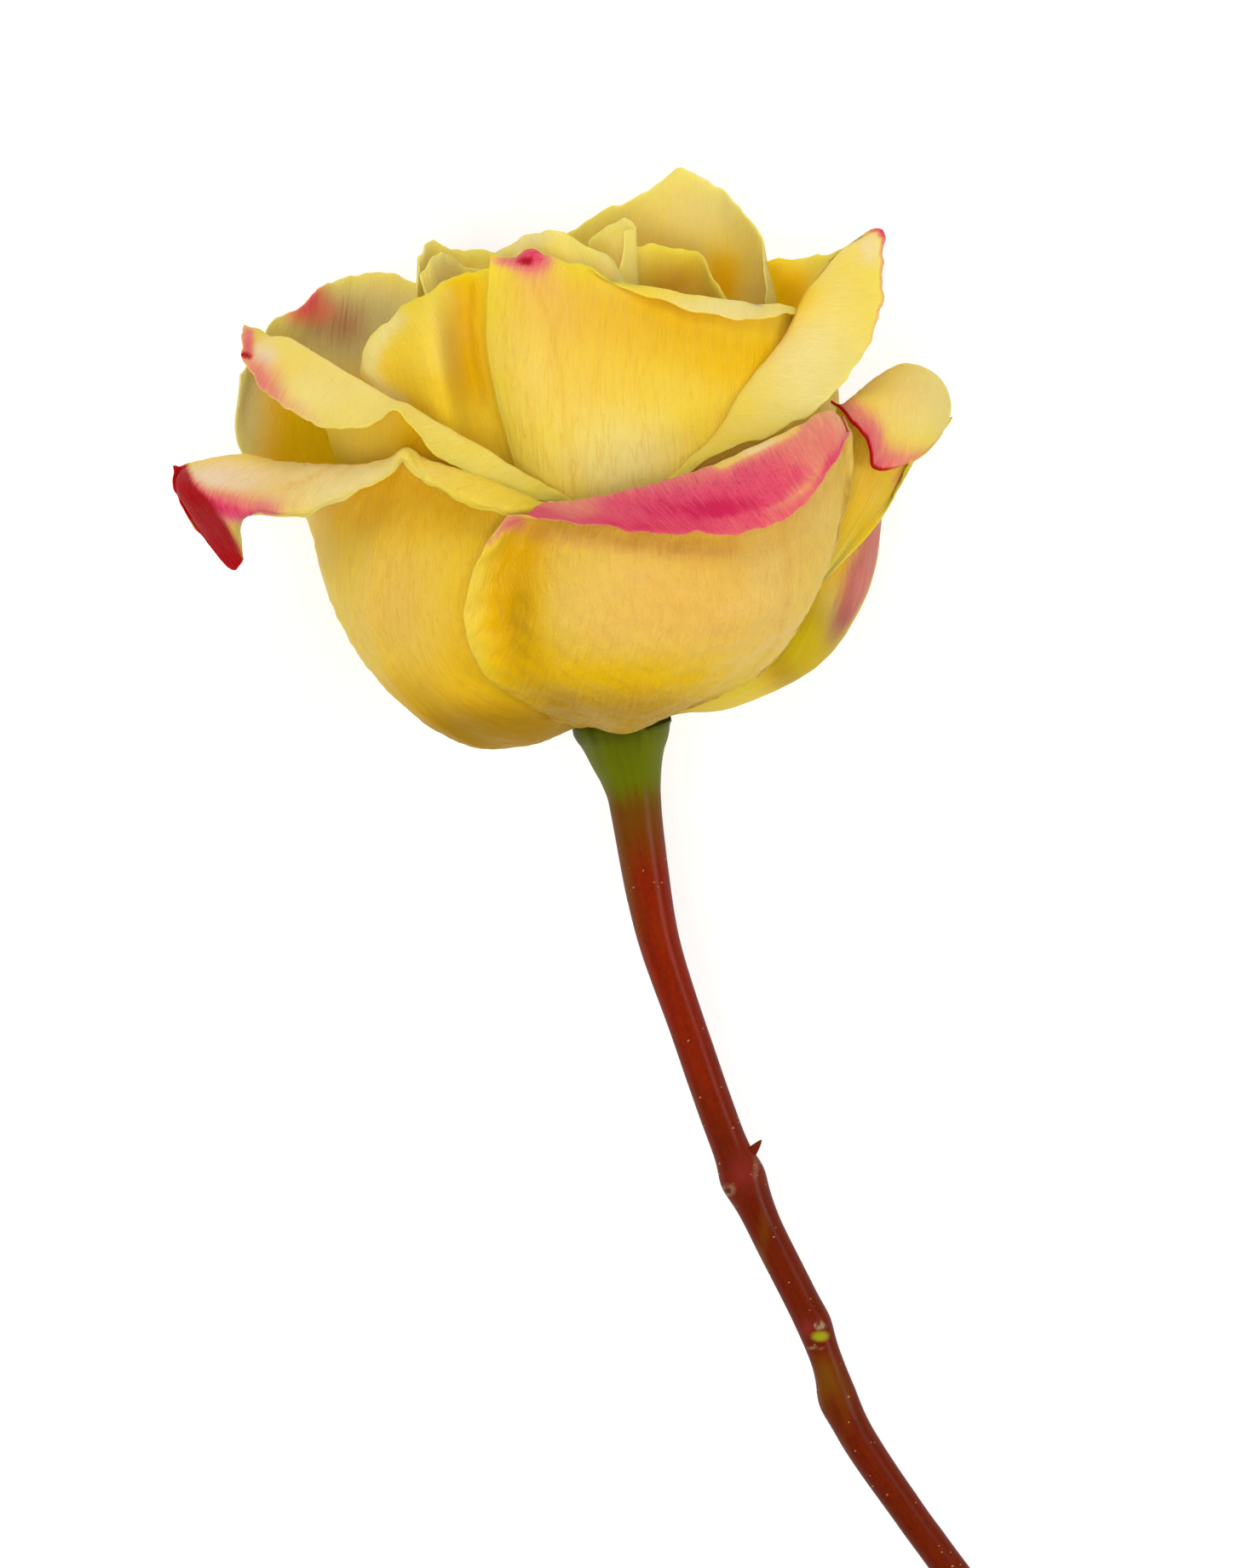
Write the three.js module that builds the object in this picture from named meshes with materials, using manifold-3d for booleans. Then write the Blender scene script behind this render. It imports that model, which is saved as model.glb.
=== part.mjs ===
// A cut rose, lying on its back petals and on the cut end of its stem.
// Millimetres, +Z up. The bloom points along +Y and the surface it lies on is z = 0.
import * as THREE from 'three';
import { mergeVertices } from 'three/addons/utils/BufferGeometryUtils.js';
import Module from 'manifold-3d';

const wasm = await Module();
wasm.setup();

// The foot of the bloom, where the petals grow from the top of the green hip
const FOOT = new THREE.Vector3(-8, 55.9, 30);
// The bloom leans to the left and its mouth is raised off the surface, in degrees
const LEAN = 3;
const RAISE = 8.5;

// Sheet and clearance sizes
const PETAL_THICKNESS = 0.7;
const PETAL_GAP = 0.3;
const SHORTEST_EDGE = 0.03;
const ROOT_HALF_ANGLE = 24;
const ROOT_HEIGHT = 0.6;
const ROOT_OUTERMOST = 5.8;
const ROOT_CLIMB = 0.8;

// Weight of a turn about the bloom's axis against its radius and height, in mm per radian
const ARC_SCALE = 25;

// Axes of the bloom: right, front (up off the surface) and along its own axis
const lean = THREE.MathUtils.degToRad(LEAN);
const raise = THREE.MathUtils.degToRad(RAISE);
const RIGHT = new THREE.Vector3(Math.cos(lean), Math.sin(lean), 0);
const AXIS = new THREE.Vector3(
  -Math.sin(lean) * Math.cos(raise), Math.cos(lean) * Math.cos(raise), Math.sin(raise));
const FRONT = new THREE.Vector3().crossVectors(RIGHT, AXIS);

// Petals drawn by hand. Each rib runs from low on the cup to the edge of the petal,
// and the ribs go from its left margin to its right one. A point is [x, y, z] from the foot.
const SHAPED_PETALS = [
  {
    name: 'petal_front_cup', facing: 85, root: 5.8, across: 10, along: 8, ribs: [
      [[-9, 1, 19], [-16.2, 5.8, 29], [-18.3, 12.5, 33.4], [-16, 19.8, 34], [-13.1, 23.9, 32.8]],
      [[-7, 0, 18.5], [-12, 5, 28.4], [-12.6, 12.5, 30.6], [-9.8, 24.4, 30.4], [-9.2, 23.4, 32.6]],
      [[-3.8, -0.3, 16.5], [-5.5, 4.2, 30.8], [-5, 12.5, 35.3], [-5.2, 25.3, 31.5], [-4, 22.6, 36]],
      [[0.3, -1.2, 15.5], [3, 3.6, 31.5], [4, 12, 36.5], [6, 27.8, 32.5], [7.2, 21.6, 38.5]],
      [[4, 0.2, 14.5], [10, 4.8, 28.5], [13, 11.5, 34], [14, 30.8, 31], [14.5, 21.7, 38]],
      [[8.5, 2.4, 13.5], [15, 6.6, 23], [20, 14, 28.5], [20.5, 33.9, 28], [20.8, 24.7, 35]],
      [[11, 3, 12], [17, 7, 20], [22.5, 15.5, 25], [24.4, 35.6, 24.5], [25.6, 31.5, 29.5]],
      [[12.8, 3.5, 11], [19.5, 9, 17.5], [24.9, 20.8, 21], [27, 28.5, 21], [26.2, 35.5, 19.5]],
    ],
  },
  {
    name: 'petal_left_shelf', facing: 150, root: 5.8, across: 11, along: 9, ribs: [
      [[-3, 1.6, 13], [-6, 6.4, 24], [-7, 14, 28], [-8, 24.5, 28], [-7.8, 25.2, 28.8], [-7.9, 25, 29.6]],
      [[-6.6, 0.7, 16], [-12, 5, 24.5], [-14, 12.5, 27.5], [-13, 26.7, 28], [-14.2, 24.6, 31], [-14.4, 24, 31.2]],
      [[-11.3, -2.3, 17], [-19, 2.5, 24], [-22, 12, 25.5], [-18.7, 28.8, 26], [-20.2, 26.9, 30.3], [-20.4, 26.3, 30.4]],
      [[-15, -2.7, 16], [-23.5, 3.2, 20.8], [-27, 12.6, 22.2], [-23, 30.2, 24.4], [-23.6, 28.9, 29.7], [-23.8, 28.4, 30.1]],
      [[-17, -2.9, 15.5], [-26, 3.5, 19], [-29.6, 13, 20.4], [-25, 30.9, 23.4], [-25.4, 30.7, 29.2], [-25.5, 30.2, 29.8]],
      [[-17.4, -2.8, 14.6], [-26.6, 3.8, 17.6], [-30.6, 13.4, 18.8], [-26.6, 30.3, 21.8], [-27.1, 29, 28.2], [-27.3, 28.5, 28.7]],
      [[-18, -2.7, 12.8], [-27.8, 4.4, 15], [-32.4, 14.2, 15.8], [-29.4, 29.6, 18.6], [-31.2, 27.2, 26], [-31.5, 26.3, 26.4]],
      [[-18.5, -2.3, 10], [-29, 5.5, 11], [-34.3, 15.8, 11], [-34, 29.9, 12.5], [-37.2, 24.8, 21.5], [-37.5, 24, 21.6]],
      [[-18, -1, 4], [-29, 7.5, 2], [-35.3, 18.5, 0], [-39.5, 30.4, 2], [-44.3, 24.9, 13], [-44.6, 23.9, 12]],
      [[-16, 0, 0], [-27.5, 9, -3], [-35, 20, -6], [-42.5, 31, -4], [-52.6, 28.6, 3], [-45.6, 17.9, 5]],
      [[-15.2, 0.5, -1.5], [-26.8, 9.8, -5], [-34.5, 21, -8], [-42, 30.8, -6.5], [-51.2, 30, -1], [-52.5, 25.9, 1.5]],
      [[-14.5, 1, -3], [-26, 10.5, -7], [-34, 22, -10], [-41, 30.2, -9], [-48.8, 31, -5], [-53.5, 30.3, -2]],
    ],
  },
  {
    name: 'petal_left_upper', facing: 145, root: 4.9, across: 9, along: 8, ribs: [
      [[-2, 1, 10], [-4, 7, 20.5], [-5, 16, 24], [-5.4, 25.2, 24.6], [-5.7, 25.4, 25.4]],
      [[-5, 0.6, 12], [-10, 7, 20.8], [-12, 17, 23.8], [-12, 29.1, 25], [-13.3, 26.3, 26.6]],
      [[-9, 0.6, 12], [-17, 7, 19], [-20, 18, 22], [-19, 33.1, 23.8], [-20.8, 30.5, 26.2]],
      [[-11.1, 0.7, 10.3], [-20.5, 7.7, 15.9], [-24.2, 18.7, 18.9], [-23.6, 35.8, 21.6], [-24.7, 34.4, 25.2]],
      [[-12, 0.8, 9.5], [-22, 8, 14.5], [-26, 19, 17.5], [-25.4, 36.9, 20.5], [-26.4, 36, 24.4]],
      [[-12.3, 1, 8.3], [-22.9, 8.6, 12.7], [-27.2, 19.9, 15.6], [-27.2, 37.6, 18.8], [-28.5, 35, 23]],
      [[-13, 1.4, 5.5], [-25, 10, 8.5], [-30, 22, 11], [-31, 39.8, 15], [-33.2, 34.2, 20.5]],
      [[-13, 2, 2], [-26, 12, 2.5], [-31.5, 25, 4.5], [-36, 43, 8], [-40.2, 37.2, 13.5]],
      [[-13, 3, -1], [-26, 14, -2.5], [-32.5, 28, -1.5], [-40.2, 45.4, 0], [-45, 43.4, 4.5]],
      [[-12, 4, -3.5], [-25, 16, -7], [-32, 30, -8], [-40, 44.5, -4], [-45, 47, -1]],
    ],
  },
  {
    name: 'petal_back_left', facing: 215, root: 4.9, across: 9, along: 7, ribs: [
      [[-13, 3, -6], [-27, 12, -12], [-37, 24, -14], [-46, 33, -12], [-45.8, 41.5, -12]],
      [[-13, 3, -8], [-27, 13, -16], [-38, 28, -20], [-43, 41, -19], [-41.8, 48, -18.5]],
      [[-12.6, 3, -9.4], [-25.8, 13, -18.8], [-35.8, 28.5, -23.4], [-40.2, 42.6, -23], [-38.6, 50.2, -21]],
      [[-12, 3, -10.5], [-24, 13, -21], [-33, 29, -26], [-37, 44, -26], [-36.6, 52.5, -23.2]],
      [[-10.6, 3, -11.4], [-21, 12.8, -23], [-29.4, 28.4, -27.6], [-33.8, 43, -28], [-34, 53.4, -26.2]],
      [[-9, 3, -12], [-18, 12.5, -24.5], [-26, 28, -28.6], [-30, 42, -29.5], [-30.5, 54.4, -27.7]],
      [[-6, 3.2, -12.5], [-12, 12, -25.5], [-18, 28, -29], [-21, 41, -29.6], [-23, 52.6, -28.7]],
      [[-3, 3.5, -13], [-6, 12, -25.5], [-10, 27, -28.8], [-12, 39, -29.2], [-14, 48, -28.3]],
    ],
  },
  {
    name: 'petal_mid_left', facing: 140, root: 4, across: 7, along: 7, ribs: [
      [[-3, 2.5, 8], [-6, 13, 16.5], [-9, 28, 18.5], [-12, 45, 17], [-13.5, 53, 15]],
      [[-4.5, 2.5, 8], [-10, 13, 15.3], [-14, 28, 15.2], [-17.6, 44, 12], [-18.2, 52.8, 11.8]],
      [[-6, 2.5, 7], [-14, 13, 14], [-19, 28, 16], [-22, 43, 16.4], [-22.8, 50.5, 13.5]],
      [[-7.5, 3, 6], [-17, 13, 10.5], [-22.5, 28, 12.6], [-26, 41, 13.4], [-27.6, 47.4, 10.4]],
      [[-8.2, 3, 5.2], [-18.3, 13, 8.6], [-23.6, 27.5, 10.8], [-27.6, 38.5, 11.8], [-30.4, 43.8, 9.6]],
      [[-8.7, 3, 4.3], [-19, 13, 7.3], [-24, 26.5, 9.6], [-27.2, 35.6, 11.4], [-30.6, 40.6, 9]],
    ],
  },
  {
    name: 'petal_front_centre', facing: 90, root: 4, across: 14, along: 8, ribs: [
      [[-4, 2.2, 9], [-8, 14, 18.5], [-12, 28, 20.5], [-15.6, 43, 20], [-15.4, 53.8, 17.5], [-15.4, 54.5, 17]],
      [[-3.6, 2.1, 9.5], [-7, 14, 19.2], [-10.4, 28, 21.8], [-13.8, 43, 21.6], [-13.4, 53.4, 18.2], [-13.4, 54.1, 17.6]],
      [[-3, 2, 10], [-5.5, 14, 20], [-8, 28, 23], [-11, 43, 23], [-11.2, 54.5, 18.5], [-11, 55.4, 17.8]],
      [[-2, 2, 10.2], [-3.8, 14, 20.8], [-5.4, 28, 23.8], [-7.6, 42.6, 23.7], [-8.3, 53.3, 19.2], [-8.2, 54.2, 19]],
      [[-1, 2, 10.5], [-2, 14, 21.5], [-2.5, 28, 24.5], [-4, 42, 24], [-4.3, 52.5, 20.5], [-4.3, 53.2, 20.6]],
      [[1, 2, 10.5], [3, 14, 21], [5, 28, 24], [5, 41, 23.5], [5.2, 50.1, 20.5], [5.6, 48.7, 22.4]],
      [[3, 2.2, 10], [8, 15, 18.5], [12, 28, 21], [13, 40, 20], [13.2, 49.1, 18], [13.6, 47.2, 20]],
      [[5, 3, 8], [12, 16, 13.5], [17.5, 29, 14.5], [20, 40, 12.5], [20.4, 48.5, 9.5], [20.9, 48.1, 11]],
    ],
  },
  {
    name: 'petal_big_right', facing: 35, root: 4.9, across: 10, along: 8, ribs: [
      [[1.2, 2.5, 11.6], [2, 9, 21.5], [3, 18, 25.5], [4, 26.7, 26.2], [5, 27.8, 26.6]],
      [[4, 2.6, 11.5], [7, 9, 20.5], [9.5, 19, 24.5], [9.5, 31.6, 24.5], [11.7, 31.2, 26.5]],
      [[7, 3.4, 11], [12.5, 10, 18.5], [16, 22, 20.5], [14.9, 39.4, 19.5], [19, 34.2, 24]],
      [[9, 4.4, 8.5], [17, 12.5, 12.5], [21, 26, 14.5], [19, 44.6, 14.5], [25.6, 39, 22]],
      [[10.5, 5.2, 5.5], [19.5, 14.5, 7], [24, 30, 8.5], [22, 50.4, 9], [30.3, 48, 16]],
      [[10.8, 5.8, 3.8], [20.4, 15.6, 4.2], [25, 31.8, 4.6], [23.6, 52.4, 5.4], [30.8, 54, 10]],
      [[11, 6.2, 2.5], [21, 16.5, 2], [25.5, 33, 1.5], [25, 54, 2.6], [30.5, 58.2, 6]],
      [[11, 6.6, 0.9], [20.8, 17.2, -1], [24.6, 33.6, -2.4], [22.6, 50.6, -2.4], [25.4, 55.7, 0.6]],
      [[11, 7, -0.5], [20.5, 18, -3.5], [23, 34, -6], [19.8, 45, -7.5], [16.6, 54.8, -7.5]],
    ],
  },
  {
    name: 'petal_back_tall', facing: 275, root: 4, across: 9, along: 7, ribs: [
      [[-5, 4, -5.5], [-12, 16, -10.5], [-14, 32, -12], [-12.8, 47, -9], [-8.4, 56.8, -7]],
      [[-2, 5, -6.5], [-5, 17, -13], [-6, 34, -14.5], [-4.5, 51, -11], [-1.4, 61.3, -7]],
      [[-0.3, 5, -6.5], [-1, 17, -13.3], [-1, 34, -15], [0.5, 51.8, -11], [3.6, 63.5, -6.2]],
      [[1.5, 5, -6.5], [3, 17, -13.5], [4, 34, -15], [5.5, 52.6, -10.5], [6.5, 65.8, -5]],
      [[3, 5, -6.3], [6.6, 17, -12.4], [8.8, 34, -13.4], [9.8, 52, -9], [9.4, 64.7, -4.2]],
      [[4.5, 5, -6], [10, 17, -10.5], [13, 34, -11], [13.8, 50.7, -7], [12.5, 62.8, -3]],
      [[7, 4.5, -4], [15, 16, -5.5], [18, 34, -4.5], [18.2, 47.7, -1], [16.4, 57.2, 1.5]],
      [[8, 4, -1.5], [17, 15, -1], [19.5, 30, 1], [19, 42, 3], [17, 50, 4]],
    ],
  },
  {
    name: 'petal_right_wing', facing: 38, root: 5.8, across: 8, along: 9, ribs: [
      [[6.5, 2.4, 9.8], [15.5, 9.5, 16.5], [22.6, 23, 19.5], [25.2, 35.5, 17.5], [25.2, 37, 17.8], [24.6, 37.6, 18.5]],
      [[7.5, 2.6, 9.2], [17.5, 10, 15.5], [25.8, 25, 16.8], [28.5, 39, 12.5], [29, 38, 16], [28.2, 33.5, 18.5]],
      [[8.5, 2.8, 8.6], [18.5, 11, 14.5], [28.3, 25, 14.5], [33.5, 42, 5.5], [34.5, 38, 13], [30.2, 29.6, 17]],
      [[9, 3, 8], [19.3, 12, 13.5], [29.8, 25, 12.5], [37.5, 40, 0], [38.5, 36, 8], [33.9, 30.4, 14.5]],
      [[9.5, 3.2, 7.5], [20, 13, 13], [30.3, 23.5, 12], [34, 30, 9.5], [37, 33, 7], [38.9, 36, 4]],
    ],
  },
  {
    name: 'petal_right_low', facing: 355, root: 5.8, across: 7, along: 6, ribs: [
      [[8, 2.2, 9], [14, 5.4, 14], [18, 13, 15.5], [20, 22, 15], [21, 27, 13.5]],
      [[11, 2, 8], [19.5, 6, 11], [24, 14, 11.5], [25.5, 23, 10.5], [25.5, 28.5, 9]],
      [[13, 2.1, 5], [23, 6.8, 6], [28, 14.5, 6.5], [29.6, 23, 5], [29.5, 28.5, 3]],
      [[13, 2, 0], [23, 8, -1], [28.5, 17, -2], [30, 25, -3], [30, 30, -4]],
      [[9.6, 3.6, -4.4], [18, 10.8, -7.6], [22.6, 20.8, -9.6], [24.2, 27, -10.2], [24, 31, -10.8]],
    ],
  },
  {
    name: 'petal_top_left_outer', facing: 205, root: 4, across: 6, along: 6, ribs: [
      [[-8, 3.5, 3], [-16, 15, 3], [-21, 32, 4], [-24, 44, 3], [-24.4, 52.4, 3]],
      [[-8.5, 3.5, 0], [-16.5, 15, -2], [-21.5, 32, -3], [-24, 46, -3], [-23, 56.9, -3]],
      [[-8, 4, -3], [-14.5, 16, -7], [-18.5, 34, -9], [-20.5, 47, -9], [-19.4, 56.3, -8]],
      [[-6, 4.2, -6], [-10.5, 17, -10], [-14, 35, -11], [-15, 47, -10], [-14.7, 56.3, -9]],
    ],
  },
  {
    name: 'petal_top_left_inner', facing: 185, root: 3, across: 5, along: 6, ribs: [
      [[-6, 4, 4], [-12, 15, 7], [-17, 32, 8], [-21.5, 45, 7], [-23.5, 53, 6]],
      [[-7, 4, 2], [-12.5, 15, 2.5], [-18, 32, 2], [-21, 46, 1], [-21.8, 55.6, 1]],
      [[-6.8, 4.2, -0.5], [-11.5, 15, -2], [-16, 33, -3], [-18.5, 46, -3], [-18.5, 54.1, -3]],
      [[-5.8, 4.4, -3], [-9.5, 16, -6], [-13, 34, -7], [-14.5, 46, -6.5], [-14.6, 53.4, -6]],
    ],
  },
  {
    name: 'petal_heart_front', facing: 95, root: 3, across: 7, along: 6, ribs: [
      [[-2, 3.5, 4.5], [-6, 14, 9], [-11, 32, 10], [-14, 46, 9], [-14.2, 55.5, 8]],
      [[-1.5, 3.5, 5], [-4, 14, 11], [-8, 32, 13.5], [-11.5, 47, 13.5], [-12, 57, 12]],
      [[0, 3.5, 5.5], [-1, 14, 12], [-3, 32, 14.5], [-6.5, 47, 15], [-8.3, 57.7, 14]],
      [[1.5, 3.5, 5], [3, 14, 10.5], [3, 32, 13], [-0.9, 47, 13.5], [-4.6, 56, 13.5]],
      [[2.5, 3.5, 3.5], [6, 14, 8], [7, 32, 9], [3.4, 46, 10], [-0.9, 54, 11]],
    ],
  },
  {
    name: 'petal_heart_right', facing: 320, root: 3, across: 7, along: 6, ribs: [
      [[1.5, 4, -1], [1, 16, -2], [0.5, 34, 0], [0.3, 47, 3], [0.5, 56, 5]],
      [[2.5, 4, -1.5], [4, 16, -3.5], [4, 34, -3], [4, 48, -1], [4, 56.4, 2.5]],
      [[3.5, 4, -1], [7, 16, -3.5], [8.5, 34, -3], [8.5, 48, -1], [8.7, 55.6, 2]],
      [[4.5, 4, 0], [9, 16, -0.5], [11.5, 33, 0.5], [12, 44, 2.5], [10.8, 52.2, 4.5]],
      [[5, 4, 1.5], [9.5, 15, 3], [12.5, 31, 5], [13.3, 41, 7], [12.6, 49, 8.5]],
    ],
  },
  {
    name: 'petal_heart_curl', facing: 310, root: 2.1, across: 7, along: 5, ribs: [
      [[-1.4, 5, 0], [-1.8, 15, 0.8], [-3, 32, 2.4], [-3.8, 47, 4.2], [-3.7, 57, 5]],
      [[-0.6, 5, 0], [-0.4, 15, 0.6], [-1.2, 32, 2], [-1.8, 48, 3.8], [-1.5, 58.6, 4.6]],
      [[0.2, 5, 0.2], [0.8, 15, 0.9], [0.8, 32, 2.2], [0.6, 48, 4.4], [0.6, 59.3, 5.4]],
      [[0.8, 5, 0.6], [1.8, 15, 1.5], [2, 32, 3.6], [1.8, 48, 5.8], [1.7, 58.5, 6.6]],
      [[1, 5, 1.2], [2, 15, 2.6], [1.8, 32, 5.6], [-0.9, 49, 9], [0.5, 57.8, 8.2]],
    ],
  },
];

// Petals that the others hide, shaped by a rule. Each level is [radius, height] up the middle;
// reach is the half width and facing the middle, in degrees round the bloom's axis;
// drop is how much lower the sides end, and tuck how much further in one side lies than the other.
const RULED_PETALS = [
  {
    name: 'petal_back_outer_left', facing: 266, reach: 33, root: 5.8, drop: 7, tuck: 1.6, across: 7, along: 7,
    levels: [[12.2, 3.4], [23.4, 9], [30, 19], [33.1, 30], [35.2, 38], [35.8, 42]],
  },
  {
    name: 'petal_back_outer_right', facing: 306, reach: 28, root: 5.8, drop: 8, tuck: 1.2, across: 7, along: 7,
    levels: [[11.6, 3.2], [22, 8.2], [28.6, 18.5], [30.6, 27], [31.8, 33], [32.4, 36.5]],
  },
  {
    name: 'petal_back_middle', facing: 268, reach: 46, root: 4.9, drop: 8, tuck: 1.2, across: 6, along: 5,
    levels: [[10, 4], [19, 10.5], [24.5, 22], [26.5, 36], [29, 46]],
  },
  {
    name: 'petal_back_right', facing: 325, reach: 42, root: 4.9, drop: 9, tuck: 1, across: 6, along: 5,
    levels: [[9.5, 4.2], [18, 11.5], [22, 22], [23, 35], [24, 43]],
  },
  {
    name: 'petal_inner_right', facing: 350, reach: 46, root: 4, drop: 7, tuck: 1, across: 6, along: 5,
    levels: [[8, 4.5], [13, 12], [16, 24], [16.5, 36], [15, 45]],
  },
  {
    name: 'petal_heart_back', facing: 258, reach: 52, root: 3, drop: 6, tuck: 1, across: 6, along: 5,
    levels: [[6, 4.5], [11, 14], [14, 30], [14.5, 43], [12.5, 52]],
  },
  {
    name: 'petal_heart_left', facing: 185, reach: 58, root: 2.1, drop: 6, tuck: 1.2, across: 6, along: 5,
    levels: [[5, 5], [8.5, 14], [10.5, 30], [10.5, 43], [8, 51]],
  },
  {
    name: 'petal_heart_core_front', facing: 65, reach: 66, root: 2.1, drop: 5, tuck: 1.2, across: 6, along: 4,
    levels: [[4, 6], [6, 14], [7.2, 30], [7.2, 42], [5, 50]],
  },
  {
    name: 'petal_heart_core_back', facing: 285, reach: 66, root: 2.1, drop: 5, tuck: 1.2, across: 6, along: 4,
    levels: [[3.5, 6], [4.4, 14], [5.2, 30], [5.2, 42], [3.4, 49]],
  },
];

// Hip and stem, from the rim of the hip to the cut end: [x, y, z, radius], x y z from the foot
const STEM_SECTIONS = [
  [0, -0.5, -0.1, 5.95],
  [0.25, -1.8, -0.3, 5.5],
  [0.55, -3.9, -0.6, 4.6],
  [1.05, -6.5, -1, 3.7],
  [1.45, -8.8, -1.3, 3.2],
  [1.8, -11.5, -1.7, 3],
  [3.2, -20.5, -3, 2.7],
  [4.5, -26.5, -4, 2.45],
  [8.05, -37.1, -5.6, 2.2],
  [12.4, -49.5, -7.5, 2.2],
  [14.7, -55, -8.4, 2.4],
  [17.1, -60.5, -9.3, 2.1],
  [22.6, -71.6, -11.2, 2.05],
  [24.4, -76.2, -12, 1.9],
  [26, -80.7, -12.7, 2.1],
  [27.9, -85.2, -13.4, 2.15],
  [34.6, -95.2, -15.2, 2],
  [37.7, -99.5, -16, 2],
  [46, -111, -18, 2.05],
  [53.5, -124, -20.3, 2.1],
  [59.5, -138, -22.7, 2.15],
  [63.5, -152, -25, 2.15],
  [66, -166, -27.1, 2.2],
  [67.5, -176, -28.1, 2.2],
];
const STEM_SIDES = 12;
const STEM_STEPS = 2;
const CUT_SLANT = 0.7;

// Top of the hip, a low cone that carries the petals: [radius, height] on the bloom's axis
const HIP_TOP = [[5.9, -0.1], [5.3, 0.3], [3.2, 2], [1.2, 3.6]];

// The stub of a side shoot above the first leaf scar: its foot, its tip and its radius
const STUB_FOOT = new THREE.Vector3(13.6, -53, -8);
const STUB_TIP = new THREE.Vector3(16.7, -50, -7.2);
const STUB_RADIUS = 1.1;

// Tuft of stamens round the styles, in the middle of the heart
const TUFT_BASE = { radius: 1.25, from: 3.9, to: 5.4 };
const FILAMENT_COUNT = 7;
const FILAMENT_RADIUS = 0.3;
const FILAMENT_HEIGHT = 7;
const FILAMENT_SPREAD = 1.7;
const ANTHER_RADIUS = 0.55;

// Colours of the pieces
const YELLOW = 0xf2c945;
const PEACH = 0xe9bd62;
const STEM_RED = 0x6e2a12;
const TUFT = 0xc98f2a;

const UP = new THREE.Vector3(0, 1, 0);

const toBloom = (point) => new THREE.Vector3(point.dot(RIGHT), point.dot(FRONT), point.dot(AXIS));

// A place round the bloom's axis, as a turn, a radius and a height, the turn near a petal's middle.
function roundAxis([x, y, z], facing) {
  const local = toBloom(new THREE.Vector3(x, y, z));
  const middle = THREE.MathUtils.degToRad(facing);
  let turn = Math.atan2(local.y, local.x) - middle;
  turn -= 2 * Math.PI * Math.round(turn / (2 * Math.PI));
  return new THREE.Vector3((middle + turn) * ARC_SCALE, Math.hypot(local.x, local.y), local.z);
}

function fromAxis(place) {
  const turn = place.x / ARC_SCALE;
  return new THREE.Vector3()
    .addScaledVector(RIGHT, Math.cos(turn) * place.y)
    .addScaledVector(FRONT, Math.sin(turn) * place.y)
    .addScaledVector(AXIS, place.z)
    .add(FOOT);
}

// One span of a centripetal curve, from b to c, with its neighbours a and d.
function curveSpan(a, b, c, d, share) {
  const ta = Math.sqrt(Math.max(a.distanceTo(b), 1e-3));
  const tb = ta + Math.sqrt(Math.max(b.distanceTo(c), 1e-3));
  const tc = tb + Math.sqrt(Math.max(c.distanceTo(d), 1e-3));
  const t = ta + (tb - ta) * share;
  const blend = (p, q, from, to) => p.clone().lerp(q, (t - from) / (to - from));
  const ab = blend(a, b, 0, ta);
  const bc = blend(b, c, ta, tb);
  const cd = blend(c, d, tb, tc);
  return blend(blend(ab, bc, 0, tb), blend(bc, cd, ta, tc), ta, tb);
}

// A point a share of the way along a curve through the points, its end spans mirrored outwards.
function alongCurve(points, share) {
  const last = points.length - 1;
  const place = THREE.MathUtils.clamp(share, 0, 1) * last;
  const i = Math.min(Math.floor(place), last - 1);
  const before = points[i - 1] ?? points[0].clone().multiplyScalar(2).sub(points[1]);
  const after = points[i + 2] ?? points[last].clone().multiplyScalar(2).sub(points[last - 1]);
  return curveSpan(before, points[i], points[i + 1], after, place - i);
}

// Where a rib leaves the hip: the further in the ring, the higher it sits on the dome.
function rootPlace(petal, share) {
  const turn = THREE.MathUtils.degToRad(petal.facing + ROOT_HALF_ANGLE * (2 * share - 1));
  const height = ROOT_HEIGHT + (ROOT_OUTERMOST - petal.root) * ROOT_CLIMB;
  return new THREE.Vector3(turn * ARC_SCALE, petal.root, height);
}

function shapedRibs(petal) {
  const ribs = petal.ribs.map((rib) => rib.map((point) => roundAxis(point, petal.facing)));
  const turnsBack = ribs[0][1].x > ribs[ribs.length - 1][1].x;
  ribs.forEach((rib, i) => {
    const share = i / (ribs.length - 1);
    rib.unshift(rootPlace(petal, turnsBack ? 1 - share : share));
  });
  return ribs;
}

const RULED_RIBS = 5;

function ruledRibs(petal) {
  const ribs = [];
  for (let i = 0; i < RULED_RIBS; i += 1) {
    const side = 2 * i / (RULED_RIBS - 1) - 1;
    const rib = petal.levels.map(([radius, height], level) => {
      const rise = (level + 1) / petal.levels.length;
      const narrowing = 1 - 0.22 * rise ** 4;
      const turn = THREE.MathUtils.degToRad(petal.facing + side * petal.reach * narrowing);
      const down = petal.drop * rise ** 2 * Math.abs(side) ** 2.4;
      return new THREE.Vector3(turn * ARC_SCALE, radius + petal.tuck * side * rise, height - down);
    });
    rib.unshift(rootPlace(petal, i / (RULED_RIBS - 1)));
    ribs.push(rib);
  }
  return ribs;
}

function sheetPoint(ribs, across, along) {
  return fromAxis(alongCurve(ribs.map((rib) => alongCurve(rib, along)), across));
}

function solidFrom(vertices, triangles) {
  const solid = new wasm.Manifold(new wasm.Mesh({
    numProp: 3,
    vertProperties: new Float32Array(vertices.flatMap((vertex) => vertex.toArray())),
    triVerts: new Uint32Array(triangles.flat()),
  }));
  return solid;
}

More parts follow.
